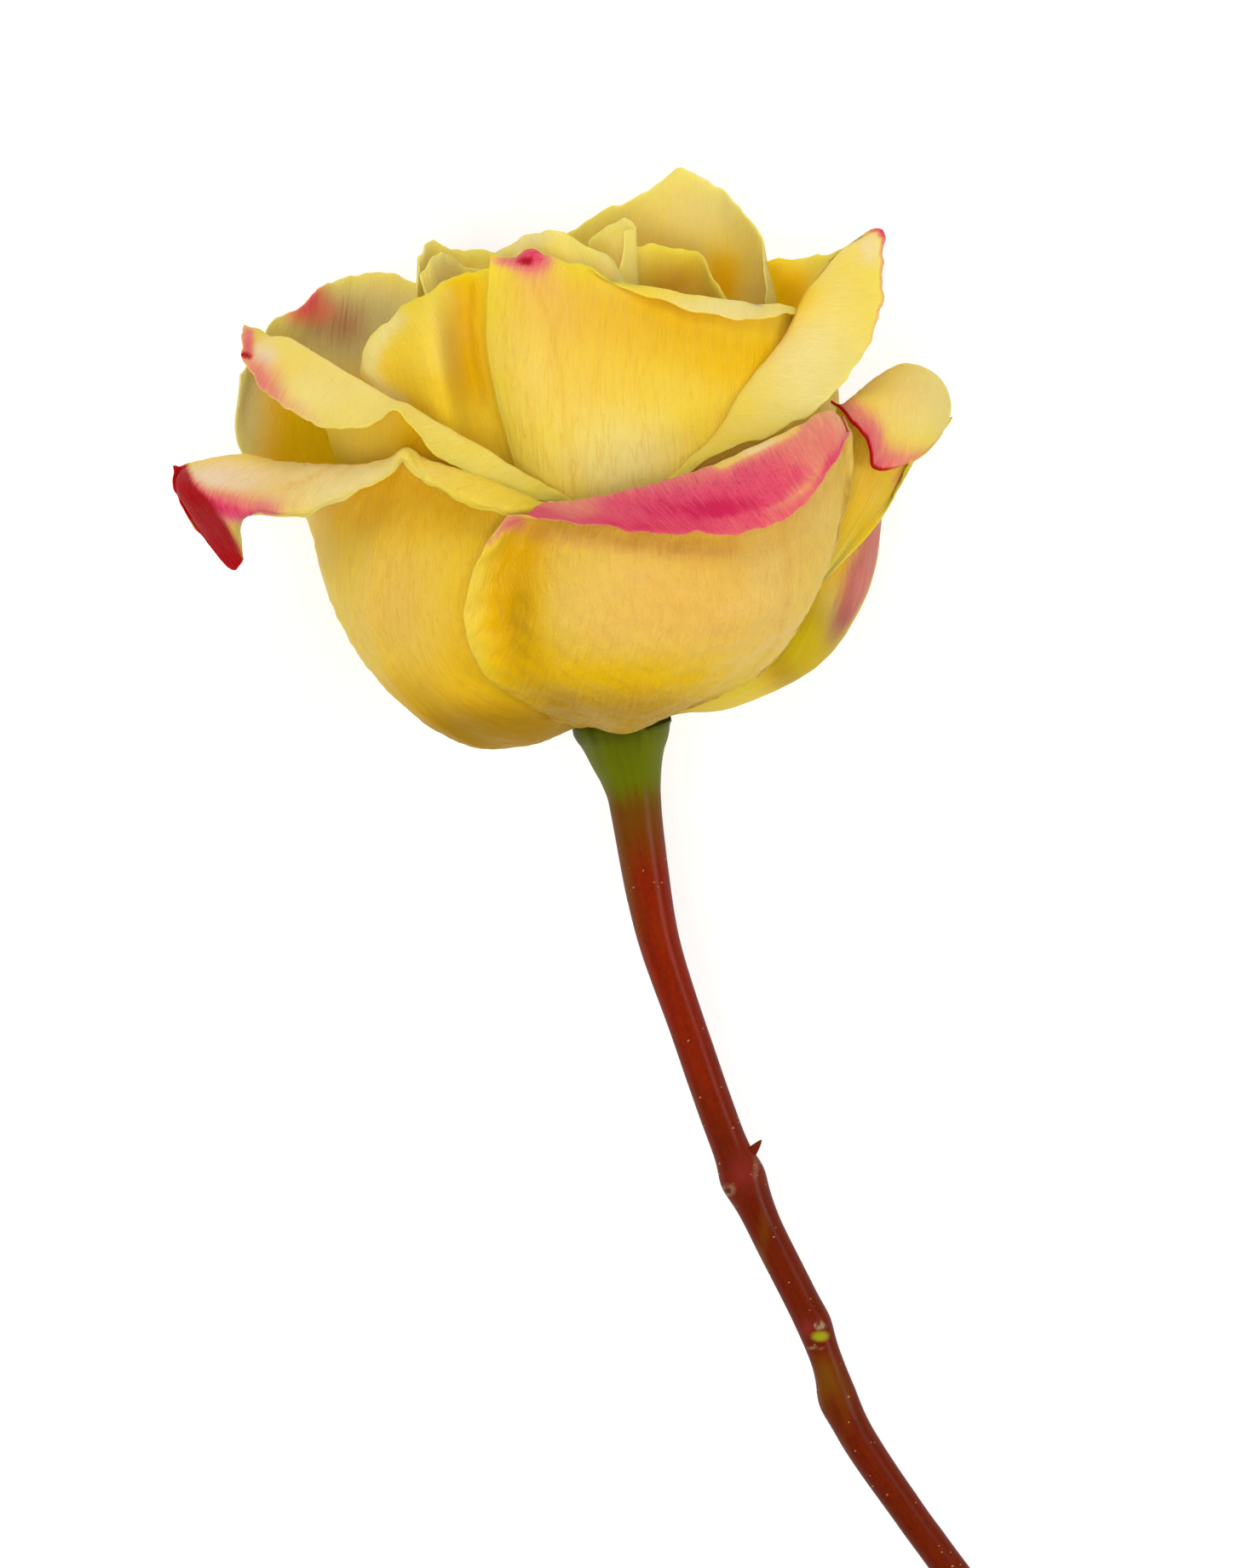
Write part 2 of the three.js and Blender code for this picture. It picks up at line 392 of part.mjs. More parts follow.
// A closed sheet of the given thickness, both faces split into triangles alike.
// Its margins are pushed outwards by spread.
function petalSolid(petal, thickness, spread) {
  const ribs = petal.ribs ? shapedRibs(petal) : ruledRibs(petal);
  const columns = petal.across;
  const rows = petal.along;
  const step = 1e-3;
  const outer = [];
  const inner = [];
  for (let row = 0; row <= rows; row += 1) {
    for (let column = 0; column <= columns; column += 1) {
      const u = column / columns;
      const v = row / rows;
      const middle = sheetPoint(ribs, u, v);
      const sideways = sheetPoint(ribs, Math.min(u + step, 1), v).sub(sheetPoint(ribs, Math.max(u - step, 0), v));
      const upwards = sheetPoint(ribs, u, Math.min(v + step, 1)).sub(sheetPoint(ribs, u, Math.max(v - step, 0)));
      const normal = new THREE.Vector3().crossVectors(sideways, upwards).normalize();
      if (column === 0 || column === columns) middle.addScaledVector(sideways.normalize(), column ? spread : -spread);
      if (row === 0 || row === rows) middle.addScaledVector(upwards.normalize(), row ? spread : -spread);
      outer.push(middle.clone().addScaledVector(normal, thickness / 2));
      inner.push(middle.clone().addScaledVector(normal, -thickness / 2));
    }
  }
  const count = outer.length;
  const at = (row, column) => row * (columns + 1) + column;
  const triangles = [];
  for (let row = 0; row < rows; row += 1) {
    for (let column = 0; column < columns; column += 1) {
      const [a, b, c, d] = [at(row, column), at(row, column + 1), at(row + 1, column + 1), at(row + 1, column)];
      triangles.push([a, b, c], [a, c, d], [count + a, count + c, count + b], [count + a, count + d, count + c]);
    }
  }
  const border = [];
  for (let column = 0; column < columns; column += 1) border.push(at(0, column));
  for (let row = 0; row < rows; row += 1) border.push(at(row, columns));
  for (let column = columns; column > 0; column -= 1) border.push(at(rows, column));
  for (let row = rows; row > 0; row -= 1) border.push(at(row, 0));
  border.forEach((from, i) => {
    const to = border[(i + 1) % border.length];
    triangles.push([from, count + to, to], [from, count + from, count + to]);
  });
  const vertices = outer.concat(inner);
  const solid = solidFrom(vertices, triangles);
  if (solid.volume() > 0) return solid;
  return solidFrom(vertices, triangles.map(([a, b, c]) => [a, c, b]));
}

// A closed tube through rings of points, its ends filled from their middles.
function solidThroughRings(rings) {
  const sides = rings[0].length;
  const vertices = rings.flat();
  const triangles = [];
  for (let ring = 0; ring < rings.length - 1; ring += 1) {
    for (let side = 0; side < sides; side += 1) {
      const next = (side + 1) % sides;
      const [a, b] = [ring * sides + side, ring * sides + next];
      triangles.push([a, b, b + sides], [a, b + sides, a + sides]);
    }
  }
  for (const end of [0, rings.length - 1]) {
    const middle = new THREE.Vector3();
    rings[end].forEach((point) => middle.addScaledVector(point, 1 / sides));
    vertices.push(middle);
    for (let side = 0; side < sides; side += 1) {
      const [a, b] = [end * sides + side, end * sides + (side + 1) % sides];
      triangles.push(end === 0 ? [a, vertices.length - 1, b] : [a, b, vertices.length - 1]);
    }
  }
  const solid = solidFrom(vertices, triangles);
  if (solid.volume() > 0) return solid;
  return solidFrom(vertices, triangles.map(([a, b, c]) => [a, c, b]));
}

function solidFromGeometry(geometry) {
  const bare = geometry.clone();
  bare.deleteAttribute('normal');
  bare.deleteAttribute('uv');
  const merged = mergeVertices(bare, 1e-4);
  return new wasm.Manifold(new wasm.Mesh({
    numProp: 3,
    vertProperties: new Float32Array(merged.attributes.position.array),
    triVerts: new Uint32Array(merged.index.array),
  }));
}

// A round bar with its foot and its tip at two points.
function barBetween(foot, tip, footRadius, tipRadius, sides) {
  const along = tip.clone().sub(foot);
  const geometry = new THREE.CylinderGeometry(tipRadius, footRadius, along.length(), sides);
  geometry.applyQuaternion(new THREE.Quaternion().setFromUnitVectors(UP, along.clone().normalize()));
  const middle = foot.clone().lerp(tip, 0.5);
  return solidFromGeometry(geometry.translate(middle.x, middle.y, middle.z));
}

function ringAround(centre, direction, radius, slant) {
  const side = new THREE.Vector3().crossVectors(direction, new THREE.Vector3(0, 0, 1)).normalize();
  const up = new THREE.Vector3().crossVectors(side, direction);
  const ring = [];
  for (let i = 0; i < STEM_SIDES; i += 1) {
    const turn = 2 * Math.PI * i / STEM_SIDES;
    ring.push(centre.clone()
      .addScaledVector(side, Math.cos(turn) * radius)
      .addScaledVector(up, Math.sin(turn) * radius)
      .addScaledVector(direction, Math.sin(turn) * radius * slant));
  }
  return ring;
}

function hipAndStem() {
  const rings = HIP_TOP.slice().reverse().map(([radius, height]) => ringAround(
    FOOT.clone().addScaledVector(AXIS, height), AXIS.clone().negate(), radius, 0));
  const centres = STEM_SECTIONS.map(([x, y, z]) => new THREE.Vector3(x, y, z).add(FOOT));
  const spans = (centres.length - 1) * STEM_STEPS;
  for (let i = 0; i <= spans; i += 1) {
    const share = i / spans;
    const section = Math.min(Math.floor(i / STEM_STEPS), centres.length - 2);
    const radius = THREE.MathUtils.lerp(
      STEM_SECTIONS[section][3], STEM_SECTIONS[section + 1][3], i / STEM_STEPS - section);
    const ahead = alongCurve(centres, Math.min(share + 1e-3, 1));
    const direction = ahead.sub(alongCurve(centres, Math.max(share - 1e-3, 0))).normalize();
    rings.push(ringAround(alongCurve(centres, share), direction, radius, i === spans ? CUT_SLANT : 0));
  }
  const stub = barBetween(STUB_FOOT.clone().add(FOOT), STUB_TIP.clone().add(FOOT), STUB_RADIUS, 0.25, 7);
  return solidThroughRings(rings).add(stub);
}

function stamensAndStyles() {
  const onAxis = (height) => FOOT.clone().addScaledVector(AXIS, height);
  let tuft = barBetween(onAxis(TUFT_BASE.from), onAxis(TUFT_BASE.to), TUFT_BASE.radius, TUFT_BASE.radius, 10);
  for (let i = 0; i < FILAMENT_COUNT; i += 1) {
    const turn = 2 * Math.PI * i / FILAMENT_COUNT;
    const outwards = RIGHT.clone().multiplyScalar(Math.cos(turn)).addScaledVector(FRONT, Math.sin(turn));
    const foot = onAxis(TUFT_BASE.from + 0.5).addScaledVector(outwards, TUFT_BASE.radius * 0.6);
    const top = TUFT_BASE.to + FILAMENT_HEIGHT * (0.85 + 0.15 * Math.cos(3 * turn));
    const tip = onAxis(top).addScaledVector(outwards, FILAMENT_SPREAD);
    const anther = new THREE.SphereGeometry(ANTHER_RADIUS, 5, 3).translate(tip.x, tip.y, tip.z);
    tuft = tuft.add(barBetween(foot, tip, FILAMENT_RADIUS * 1.3, FILAMENT_RADIUS, 4));
    tuft = tuft.add(solidFromGeometry(anther));
  }
  return tuft;
}

function largestPiece(solid) {
  return solid.decompose().reduce((best, piece) => (piece.volume() > best.volume() ? piece : best));
}

// What a petal would cross is bent clear by cutting it back to a small gap beside its neighbour.
function clearOf(solid, keepouts) {
  let cleared = solid;
  for (const keepout of keepouts) {
    if (cleared.intersect(keepout).volume() > 0) cleared = cleared.subtract(keepout);
  }
  return largestPiece(largestPiece(cleared).simplify(SHORTEST_EDGE));
}

function meshOf(name, solid, colour, roughness) {
  const { numProp, vertProperties, triVerts } = solid.getMesh();
  const geometry = new THREE.BufferGeometry();
  const positions = new Float32Array((vertProperties.length / numProp) * 3);
  for (let i = 0; i < positions.length / 3; i += 1) {
    positions.set(vertProperties.slice(i * numProp, i * numProp + 3), i * 3);
  }
  geometry.setAttribute('position', new THREE.BufferAttribute(positions, 3));
  geometry.setIndex(new THREE.BufferAttribute(new Uint32Array(triVerts), 1));
  geometry.computeVertexNormals();
  const material = new THREE.MeshStandardMaterial({ color: colour, roughness, metalness: 0 });
  const mesh = new THREE.Mesh(geometry, material);
  mesh.name = name;
  return mesh;
}

const surface = solidFromGeometry(new THREE.BoxGeometry(600, 600, 40).translate(0, 0, -20));
const rose = new THREE.Group();
const hip = hipAndStem().subtract(surface);
rose.add(meshOf('hip_and_stem', hip, STEM_RED, 0.45));
const tuft = stamensAndStyles();
rose.add(meshOf('stamens_and_styles', tuft, TUFT, 0.7));
const keepouts = [hip, tuft];
[...SHAPED_PETALS, ...RULED_PETALS].forEach((petal, i) => {
  const solid = clearOf(petalSolid(petal, PETAL_THICKNESS, 0), [surface, ...keepouts]);
  keepouts.push(petalSolid(petal, PETAL_THICKNESS + 2 * PETAL_GAP, PETAL_GAP));
  rose.add(meshOf(petal.name, solid, i < SHAPED_PETALS.length ? YELLOW : PEACH, 0.55));
});

export default rose;
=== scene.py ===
"""A cut rose lying on a pale table: yellow petals with pink margins and a curved red-brown stem."""
import math

import bmesh
import bpy
import numpy as np
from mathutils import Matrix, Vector


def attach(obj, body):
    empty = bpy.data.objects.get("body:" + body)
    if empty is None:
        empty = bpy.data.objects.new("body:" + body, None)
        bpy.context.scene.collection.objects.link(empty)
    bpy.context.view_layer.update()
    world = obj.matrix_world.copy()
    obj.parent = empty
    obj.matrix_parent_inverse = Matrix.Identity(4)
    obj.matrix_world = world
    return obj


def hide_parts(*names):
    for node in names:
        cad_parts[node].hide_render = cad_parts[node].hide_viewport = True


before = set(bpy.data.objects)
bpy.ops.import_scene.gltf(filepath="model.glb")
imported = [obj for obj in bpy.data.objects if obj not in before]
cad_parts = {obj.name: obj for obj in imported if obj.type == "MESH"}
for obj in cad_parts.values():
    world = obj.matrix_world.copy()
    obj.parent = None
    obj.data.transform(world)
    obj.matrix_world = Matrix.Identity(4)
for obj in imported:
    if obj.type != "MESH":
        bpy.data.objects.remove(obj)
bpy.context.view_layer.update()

MM = 0.001

# Where the petals grow from the hip, in mm, and how the bloom leans and rises, in degrees
FOOT = np.array([-8, 55.9, 30])
LEAN = math.radians(3)
RAISE = math.radians(8.5)
RIGHT = np.array([math.cos(LEAN), math.sin(LEAN), 0.0])
AXIS = np.array([-math.sin(LEAN) * math.cos(RAISE), math.cos(LEAN) * math.cos(RAISE), math.sin(RAISE)])
FRONT = np.cross(RIGHT, AXIS)


# Camera

# The camera looks straight down on the rose, as the photograph does
CAMERA_HEIGHT = 1.5
CAMERA_PLANE = 0.02
VIEW_TALL = 0.184
VIEW_MIDDLE = (0.6, -7.5)


def look_down():
    camera = bpy.data.cameras.new("camera")
    camera.sensor_fit = "VERTICAL"
    camera.sensor_height = 24
    camera.lens = camera.sensor_height * CAMERA_HEIGHT / VIEW_TALL
    camera.clip_end = 10
    seen = bpy.data.objects.new("camera", camera)
    bpy.context.scene.collection.objects.link(seen)
    seen.location = ((FOOT[0] + VIEW_MIDDLE[0]) * MM, (FOOT[1] + VIEW_MIDDLE[1]) * MM,
                     FOOT[2] * MM + CAMERA_PLANE + CAMERA_HEIGHT)
    bpy.context.scene.camera = seen


look_down()


# Petal tables

# Petals drawn one by one: ribs from the left margin to the right one, each a line of [x, y, z] in mm
# from the foot, from low on the cup to the edge
SHAPED_PETALS = [
  {
    "name": "petal_front_cup", "facing": 85, "root": 5.8, "ribs": [
      [[-9, 1, 19], [-16.2, 5.8, 29], [-18.3, 12.5, 33.4], [-16, 19.8, 34], [-13.1, 23.9, 32.8]],
      [[-7, 0, 18.5], [-12, 5, 28.4], [-12.6, 12.5, 30.6], [-9.8, 24.4, 30.4], [-9.2, 23.4, 32.6]],
      [[-3.8, -0.3, 16.5], [-5.5, 4.2, 30.8], [-5, 12.5, 35.3], [-5.2, 25.3, 31.5], [-4, 22.6, 36]],
      [[0.3, -1.2, 15.5], [3, 3.6, 31.5], [4, 12, 36.5], [6, 27.8, 32.5], [7.2, 21.6, 38.5]],
      [[4, 0.2, 14.5], [10, 4.8, 28.5], [13, 11.5, 34], [14, 30.8, 31], [14.5, 21.7, 38]],
      [[8.5, 2.4, 13.5], [15, 6.6, 23], [20, 14, 28.5], [20.5, 33.9, 28], [20.8, 24.7, 35]],
      [[11, 3, 12], [17, 7, 20], [22.5, 15.5, 25], [24.4, 35.6, 24.5], [25.6, 31.5, 29.5]],
      [[12.8, 3.5, 11], [19.5, 9, 17.5], [24.9, 20.8, 21], [27, 28.5, 21], [26.2, 35.5, 19.5]],
    ],
  },
  {
    "name": "petal_left_shelf", "facing": 150, "root": 5.8, "ribs": [
      [[-3, 1.6, 13], [-6, 6.4, 24], [-7, 14, 28], [-8, 24.5, 28], [-7.8, 25.2, 28.8], [-7.9, 25, 29.6]],
      [[-6.6, 0.7, 16], [-12, 5, 24.5], [-14, 12.5, 27.5], [-13, 26.7, 28],
       [-14.2, 24.6, 31], [-14.4, 24, 31.2]],
      [[-11.3, -2.3, 17], [-19, 2.5, 24], [-22, 12, 25.5], [-18.7, 28.8, 26],
       [-20.2, 26.9, 30.3], [-20.4, 26.3, 30.4]],
      [[-15, -2.7, 16], [-23.5, 3.2, 20.8], [-27, 12.6, 22.2], [-23, 30.2, 24.4],
       [-23.6, 28.9, 29.7], [-23.8, 28.4, 30.1]],
      [[-17, -2.9, 15.5], [-26, 3.5, 19], [-29.6, 13, 20.4], [-25, 30.9, 23.4],
       [-25.4, 30.7, 29.2], [-25.5, 30.2, 29.8]],
      [[-17.4, -2.8, 14.6], [-26.6, 3.8, 17.6], [-30.6, 13.4, 18.8], [-26.6, 30.3, 21.8],
       [-27.1, 29, 28.2], [-27.3, 28.5, 28.7]],
      [[-18, -2.7, 12.8], [-27.8, 4.4, 15], [-32.4, 14.2, 15.8], [-29.4, 29.6, 18.6],
       [-31.2, 27.2, 26], [-31.5, 26.3, 26.4]],
      [[-18.5, -2.3, 10], [-29, 5.5, 11], [-34.3, 15.8, 11], [-34, 29.9, 12.5],
       [-37.2, 24.8, 21.5], [-37.5, 24, 21.6]],
      [[-18, -1, 4], [-29, 7.5, 2], [-35.3, 18.5, 0], [-39.5, 30.4, 2], [-44.3, 24.9, 13], [-44.6, 23.9, 12]],
      [[-16, 0, 0], [-27.5, 9, -3], [-35, 20, -6], [-42.5, 31, -4], [-52.6, 28.6, 3], [-45.6, 17.9, 5]],
      [[-15.2, 0.5, -1.5], [-26.8, 9.8, -5], [-34.5, 21, -8], [-42, 30.8, -6.5],
       [-51.2, 30, -1], [-52.5, 25.9, 1.5]],
      [[-14.5, 1, -3], [-26, 10.5, -7], [-34, 22, -10], [-41, 30.2, -9], [-48.8, 31, -5], [-53.5, 30.3, -2]],
    ],
  },
  {
    "name": "petal_left_upper", "facing": 145, "root": 4.9, "ribs": [
      [[-2, 1, 10], [-4, 7, 20.5], [-5, 16, 24], [-5.4, 25.2, 24.6], [-5.7, 25.4, 25.4]],
      [[-5, 0.6, 12], [-10, 7, 20.8], [-12, 17, 23.8], [-12, 29.1, 25], [-13.3, 26.3, 26.6]],
      [[-9, 0.6, 12], [-17, 7, 19], [-20, 18, 22], [-19, 33.1, 23.8], [-20.8, 30.5, 26.2]],
      [[-11.1, 0.7, 10.3], [-20.5, 7.7, 15.9], [-24.2, 18.7, 18.9], [-23.6, 35.8, 21.6], [-24.7, 34.4, 25.2]],
      [[-12, 0.8, 9.5], [-22, 8, 14.5], [-26, 19, 17.5], [-25.4, 36.9, 20.5], [-26.4, 36, 24.4]],
      [[-12.3, 1, 8.3], [-22.9, 8.6, 12.7], [-27.2, 19.9, 15.6], [-27.2, 37.6, 18.8], [-28.5, 35, 23]],
      [[-13, 1.4, 5.5], [-25, 10, 8.5], [-30, 22, 11], [-31, 39.8, 15], [-33.2, 34.2, 20.5]],
      [[-13, 2, 2], [-26, 12, 2.5], [-31.5, 25, 4.5], [-36, 43, 8], [-40.2, 37.2, 13.5]],
      [[-13, 3, -1], [-26, 14, -2.5], [-32.5, 28, -1.5], [-40.2, 45.4, 0], [-45, 43.4, 4.5]],
      [[-12, 4, -3.5], [-25, 16, -7], [-32, 30, -8], [-40, 44.5, -4], [-45, 47, -1]],
    ],
  },
  {
    "name": "petal_back_left", "facing": 215, "root": 4.9, "ribs": [
      [[-13, 3, -6], [-27, 12, -12], [-37, 24, -14], [-46, 33, -12], [-45.8, 41.5, -12]],
      [[-13, 3, -8], [-27, 13, -16], [-38, 28, -20], [-43, 41, -19], [-41.8, 48, -18.5]],
      [[-12.6, 3, -9.4], [-25.8, 13, -18.8], [-35.8, 28.5, -23.4], [-40.2, 42.6, -23], [-38.6, 50.2, -21]],
      [[-12, 3, -10.5], [-24, 13, -21], [-33, 29, -26], [-37, 44, -26], [-36.6, 52.5, -23.2]],
      [[-10.6, 3, -11.4], [-21, 12.8, -23], [-29.4, 28.4, -27.6], [-33.8, 43, -28], [-34, 53.4, -26.2]],
      [[-9, 3, -12], [-18, 12.5, -24.5], [-26, 28, -28.6], [-30, 42, -29.5], [-30.5, 54.4, -27.7]],
      [[-6, 3.2, -12.5], [-12, 12, -25.5], [-18, 28, -29], [-21, 41, -29.6], [-23, 52.6, -28.7]],
      [[-3, 3.5, -13], [-6, 12, -25.5], [-10, 27, -28.8], [-12, 39, -29.2], [-14, 48, -28.3]],
    ],
  },
  {
    "name": "petal_mid_left", "facing": 140, "root": 4, "ribs": [
      [[-3, 2.5, 8], [-6, 13, 16.5], [-9, 28, 18.5], [-12, 45, 17], [-13.5, 53, 15]],
      [[-4.5, 2.5, 8], [-10, 13, 15.3], [-14, 28, 15.2], [-17.6, 44, 12], [-18.2, 52.8, 11.8]],
      [[-6, 2.5, 7], [-14, 13, 14], [-19, 28, 16], [-22, 43, 16.4], [-22.8, 50.5, 13.5]],
      [[-7.5, 3, 6], [-17, 13, 10.5], [-22.5, 28, 12.6], [-26, 41, 13.4], [-27.6, 47.4, 10.4]],
      [[-8.2, 3, 5.2], [-18.3, 13, 8.6], [-23.6, 27.5, 10.8], [-27.6, 38.5, 11.8], [-30.4, 43.8, 9.6]],
      [[-8.7, 3, 4.3], [-19, 13, 7.3], [-24, 26.5, 9.6], [-27.2, 35.6, 11.4], [-30.6, 40.6, 9]],
    ],
  },
  {
    "name": "petal_front_centre", "facing": 90, "root": 4, "ribs": [
      [[-4, 2.2, 9], [-8, 14, 18.5], [-12, 28, 20.5], [-15.6, 43, 20],
       [-15.4, 53.8, 17.5], [-15.4, 54.5, 17]],
      [[-3.6, 2.1, 9.5], [-7, 14, 19.2], [-10.4, 28, 21.8], [-13.8, 43, 21.6],
       [-13.4, 53.4, 18.2], [-13.4, 54.1, 17.6]],
      [[-3, 2, 10], [-5.5, 14, 20], [-8, 28, 23], [-11, 43, 23], [-11.2, 54.5, 18.5], [-11, 55.4, 17.8]],
      [[-2, 2, 10.2], [-3.8, 14, 20.8], [-5.4, 28, 23.8], [-7.6, 42.6, 23.7],
       [-8.3, 53.3, 19.2], [-8.2, 54.2, 19]],
      [[-1, 2, 10.5], [-2, 14, 21.5], [-2.5, 28, 24.5], [-4, 42, 24], [-4.3, 52.5, 20.5], [-4.3, 53.2, 20.6]],
      [[1, 2, 10.5], [3, 14, 21], [5, 28, 24], [5, 41, 23.5], [5.2, 50.1, 20.5], [5.6, 48.7, 22.4]],
      [[3, 2.2, 10], [8, 15, 18.5], [12, 28, 21], [13, 40, 20], [13.2, 49.1, 18], [13.6, 47.2, 20]],
      [[5, 3, 8], [12, 16, 13.5], [17.5, 29, 14.5], [20, 40, 12.5], [20.4, 48.5, 9.5], [20.9, 48.1, 11]],
    ],
  },
  {
    "name": "petal_big_right", "facing": 35, "root": 4.9, "ribs": [
      [[1.2, 2.5, 11.6], [2, 9, 21.5], [3, 18, 25.5], [4, 26.7, 26.2], [5, 27.8, 26.6]],
      [[4, 2.6, 11.5], [7, 9, 20.5], [9.5, 19, 24.5], [9.5, 31.6, 24.5], [11.7, 31.2, 26.5]],
      [[7, 3.4, 11], [12.5, 10, 18.5], [16, 22, 20.5], [14.9, 39.4, 19.5], [19, 34.2, 24]],
      [[9, 4.4, 8.5], [17, 12.5, 12.5], [21, 26, 14.5], [19, 44.6, 14.5], [25.6, 39, 22]],
      [[10.5, 5.2, 5.5], [19.5, 14.5, 7], [24, 30, 8.5], [22, 50.4, 9], [30.3, 48, 16]],
      [[10.8, 5.8, 3.8], [20.4, 15.6, 4.2], [25, 31.8, 4.6], [23.6, 52.4, 5.4], [30.8, 54, 10]],
      [[11, 6.2, 2.5], [21, 16.5, 2], [25.5, 33, 1.5], [25, 54, 2.6], [30.5, 58.2, 6]],
      [[11, 6.6, 0.9], [20.8, 17.2, -1], [24.6, 33.6, -2.4], [22.6, 50.6, -2.4], [25.4, 55.7, 0.6]],
      [[11, 7, -0.5], [20.5, 18, -3.5], [23, 34, -6], [19.8, 45, -7.5], [16.6, 54.8, -7.5]],
    ],
  },
  {
    "name": "petal_back_tall", "facing": 275, "root": 4, "ribs": [
      [[-5, 4, -5.5], [-12, 16, -10.5], [-14, 32, -12], [-12.8, 47, -9], [-8.4, 56.8, -7]],
      [[-2, 5, -6.5], [-5, 17, -13], [-6, 34, -14.5], [-4.5, 51, -11], [-1.4, 61.3, -7]],
      [[-0.3, 5, -6.5], [-1, 17, -13.3], [-1, 34, -15], [0.5, 51.8, -11], [3.6, 63.5, -6.2]],
      [[1.5, 5, -6.5], [3, 17, -13.5], [4, 34, -15], [5.5, 52.6, -10.5], [6.5, 65.8, -5]],
      [[3, 5, -6.3], [6.6, 17, -12.4], [8.8, 34, -13.4], [9.8, 52, -9], [9.4, 64.7, -4.2]],
      [[4.5, 5, -6], [10, 17, -10.5], [13, 34, -11], [13.8, 50.7, -7], [12.5, 62.8, -3]],
      [[7, 4.5, -4], [15, 16, -5.5], [18, 34, -4.5], [18.2, 47.7, -1], [16.4, 57.2, 1.5]],
      [[8, 4, -1.5], [17, 15, -1], [19.5, 30, 1], [19, 42, 3], [17, 50, 4]],
    ],
  },
  {
    "name": "petal_right_wing", "facing": 38, "root": 5.8, "ribs": [
      [[6.5, 2.4, 9.8], [15.5, 9.5, 16.5], [22.6, 23, 19.5], [25.2, 35.5, 17.5],
       [25.2, 37, 17.8], [24.6, 37.6, 18.5]],
      [[7.5, 2.6, 9.2], [17.5, 10, 15.5], [25.8, 25, 16.8], [28.5, 39, 12.5],
       [29, 38, 16], [28.2, 33.5, 18.5]],
      [[8.5, 2.8, 8.6], [18.5, 11, 14.5], [28.3, 25, 14.5], [33.5, 42, 5.5],
       [34.5, 38, 13], [30.2, 29.6, 17]],
      [[9, 3, 8], [19.3, 12, 13.5], [29.8, 25, 12.5], [37.5, 40, 0], [38.5, 36, 8], [33.9, 30.4, 14.5]],
      [[9.5, 3.2, 7.5], [20, 13, 13], [30.3, 23.5, 12], [34, 30, 9.5], [37, 33, 7], [38.9, 36, 4]],
    ],
  },
  {
    "name": "petal_right_low", "facing": 355, "root": 5.8, "ribs": [
      [[8, 2.2, 9], [14, 5.4, 14], [18, 13, 15.5], [20, 22, 15], [21, 27, 13.5]],
      [[11, 2, 8], [19.5, 6, 11], [24, 14, 11.5], [25.5, 23, 10.5], [25.5, 28.5, 9]],
      [[13, 2.1, 5], [23, 6.8, 6], [28, 14.5, 6.5], [29.6, 23, 5], [29.5, 28.5, 3]],
      [[13, 2, 0], [23, 8, -1], [28.5, 17, -2], [30, 25, -3], [30, 30, -4]],
      [[9.6, 3.6, -4.4], [18, 10.8, -7.6], [22.6, 20.8, -9.6], [24.2, 27, -10.2], [24, 31, -10.8]],
    ],
  },
  {
    "name": "petal_top_left_outer", "facing": 205, "root": 4, "ribs": [
      [[-8, 3.5, 3], [-16, 15, 3], [-21, 32, 4], [-24, 44, 3], [-24.4, 52.4, 3]],
      [[-8.5, 3.5, 0], [-16.5, 15, -2], [-21.5, 32, -3], [-24, 46, -3], [-23, 56.9, -3]],
      [[-8, 4, -3], [-14.5, 16, -7], [-18.5, 34, -9], [-20.5, 47, -9], [-19.4, 56.3, -8]],
      [[-6, 4.2, -6], [-10.5, 17, -10], [-14, 35, -11], [-15, 47, -10], [-14.7, 56.3, -9]],
    ],
  },
  {
    "name": "petal_top_left_inner", "facing": 185, "root": 3, "ribs": [
      [[-6, 4, 4], [-12, 15, 7], [-17, 32, 8], [-21.5, 45, 7], [-23.5, 53, 6]],
      [[-7, 4, 2], [-12.5, 15, 2.5], [-18, 32, 2], [-21, 46, 1], [-21.8, 55.6, 1]],
      [[-6.8, 4.2, -0.5], [-11.5, 15, -2], [-16, 33, -3], [-18.5, 46, -3], [-18.5, 54.1, -3]],
      [[-5.8, 4.4, -3], [-9.5, 16, -6], [-13, 34, -7], [-14.5, 46, -6.5], [-14.6, 53.4, -6]],
    ],
  },
  {
    "name": "petal_heart_front", "facing": 95, "root": 3, "ribs": [
      [[-2, 3.5, 4.5], [-6, 14, 9], [-11, 32, 10], [-14, 46, 9], [-14.2, 55.5, 8]],
      [[-1.5, 3.5, 5], [-4, 14, 11], [-8, 32, 13.5], [-11.5, 47, 13.5], [-12, 57, 12]],
      [[0, 3.5, 5.5], [-1, 14, 12], [-3, 32, 14.5], [-6.5, 47, 15], [-8.3, 57.7, 14]],
      [[1.5, 3.5, 5], [3, 14, 10.5], [3, 32, 13], [-0.9, 47, 13.5], [-4.6, 56, 13.5]],
      [[2.5, 3.5, 3.5], [6, 14, 8], [7, 32, 9], [3.4, 46, 10], [-0.9, 54, 11]],
    ],
  },
  {
    "name": "petal_heart_right", "facing": 320, "root": 3, "ribs": [
      [[1.5, 4, -1], [1, 16, -2], [0.5, 34, 0], [0.3, 47, 3], [0.5, 56, 5]],
      [[2.5, 4, -1.5], [4, 16, -3.5], [4, 34, -3], [4, 48, -1], [4, 56.4, 2.5]],
      [[3.5, 4, -1], [7, 16, -3.5], [8.5, 34, -3], [8.5, 48, -1], [8.7, 55.6, 2]],
      [[4.5, 4, 0], [9, 16, -0.5], [11.5, 33, 0.5], [12, 44, 2.5], [10.8, 52.2, 4.5]],
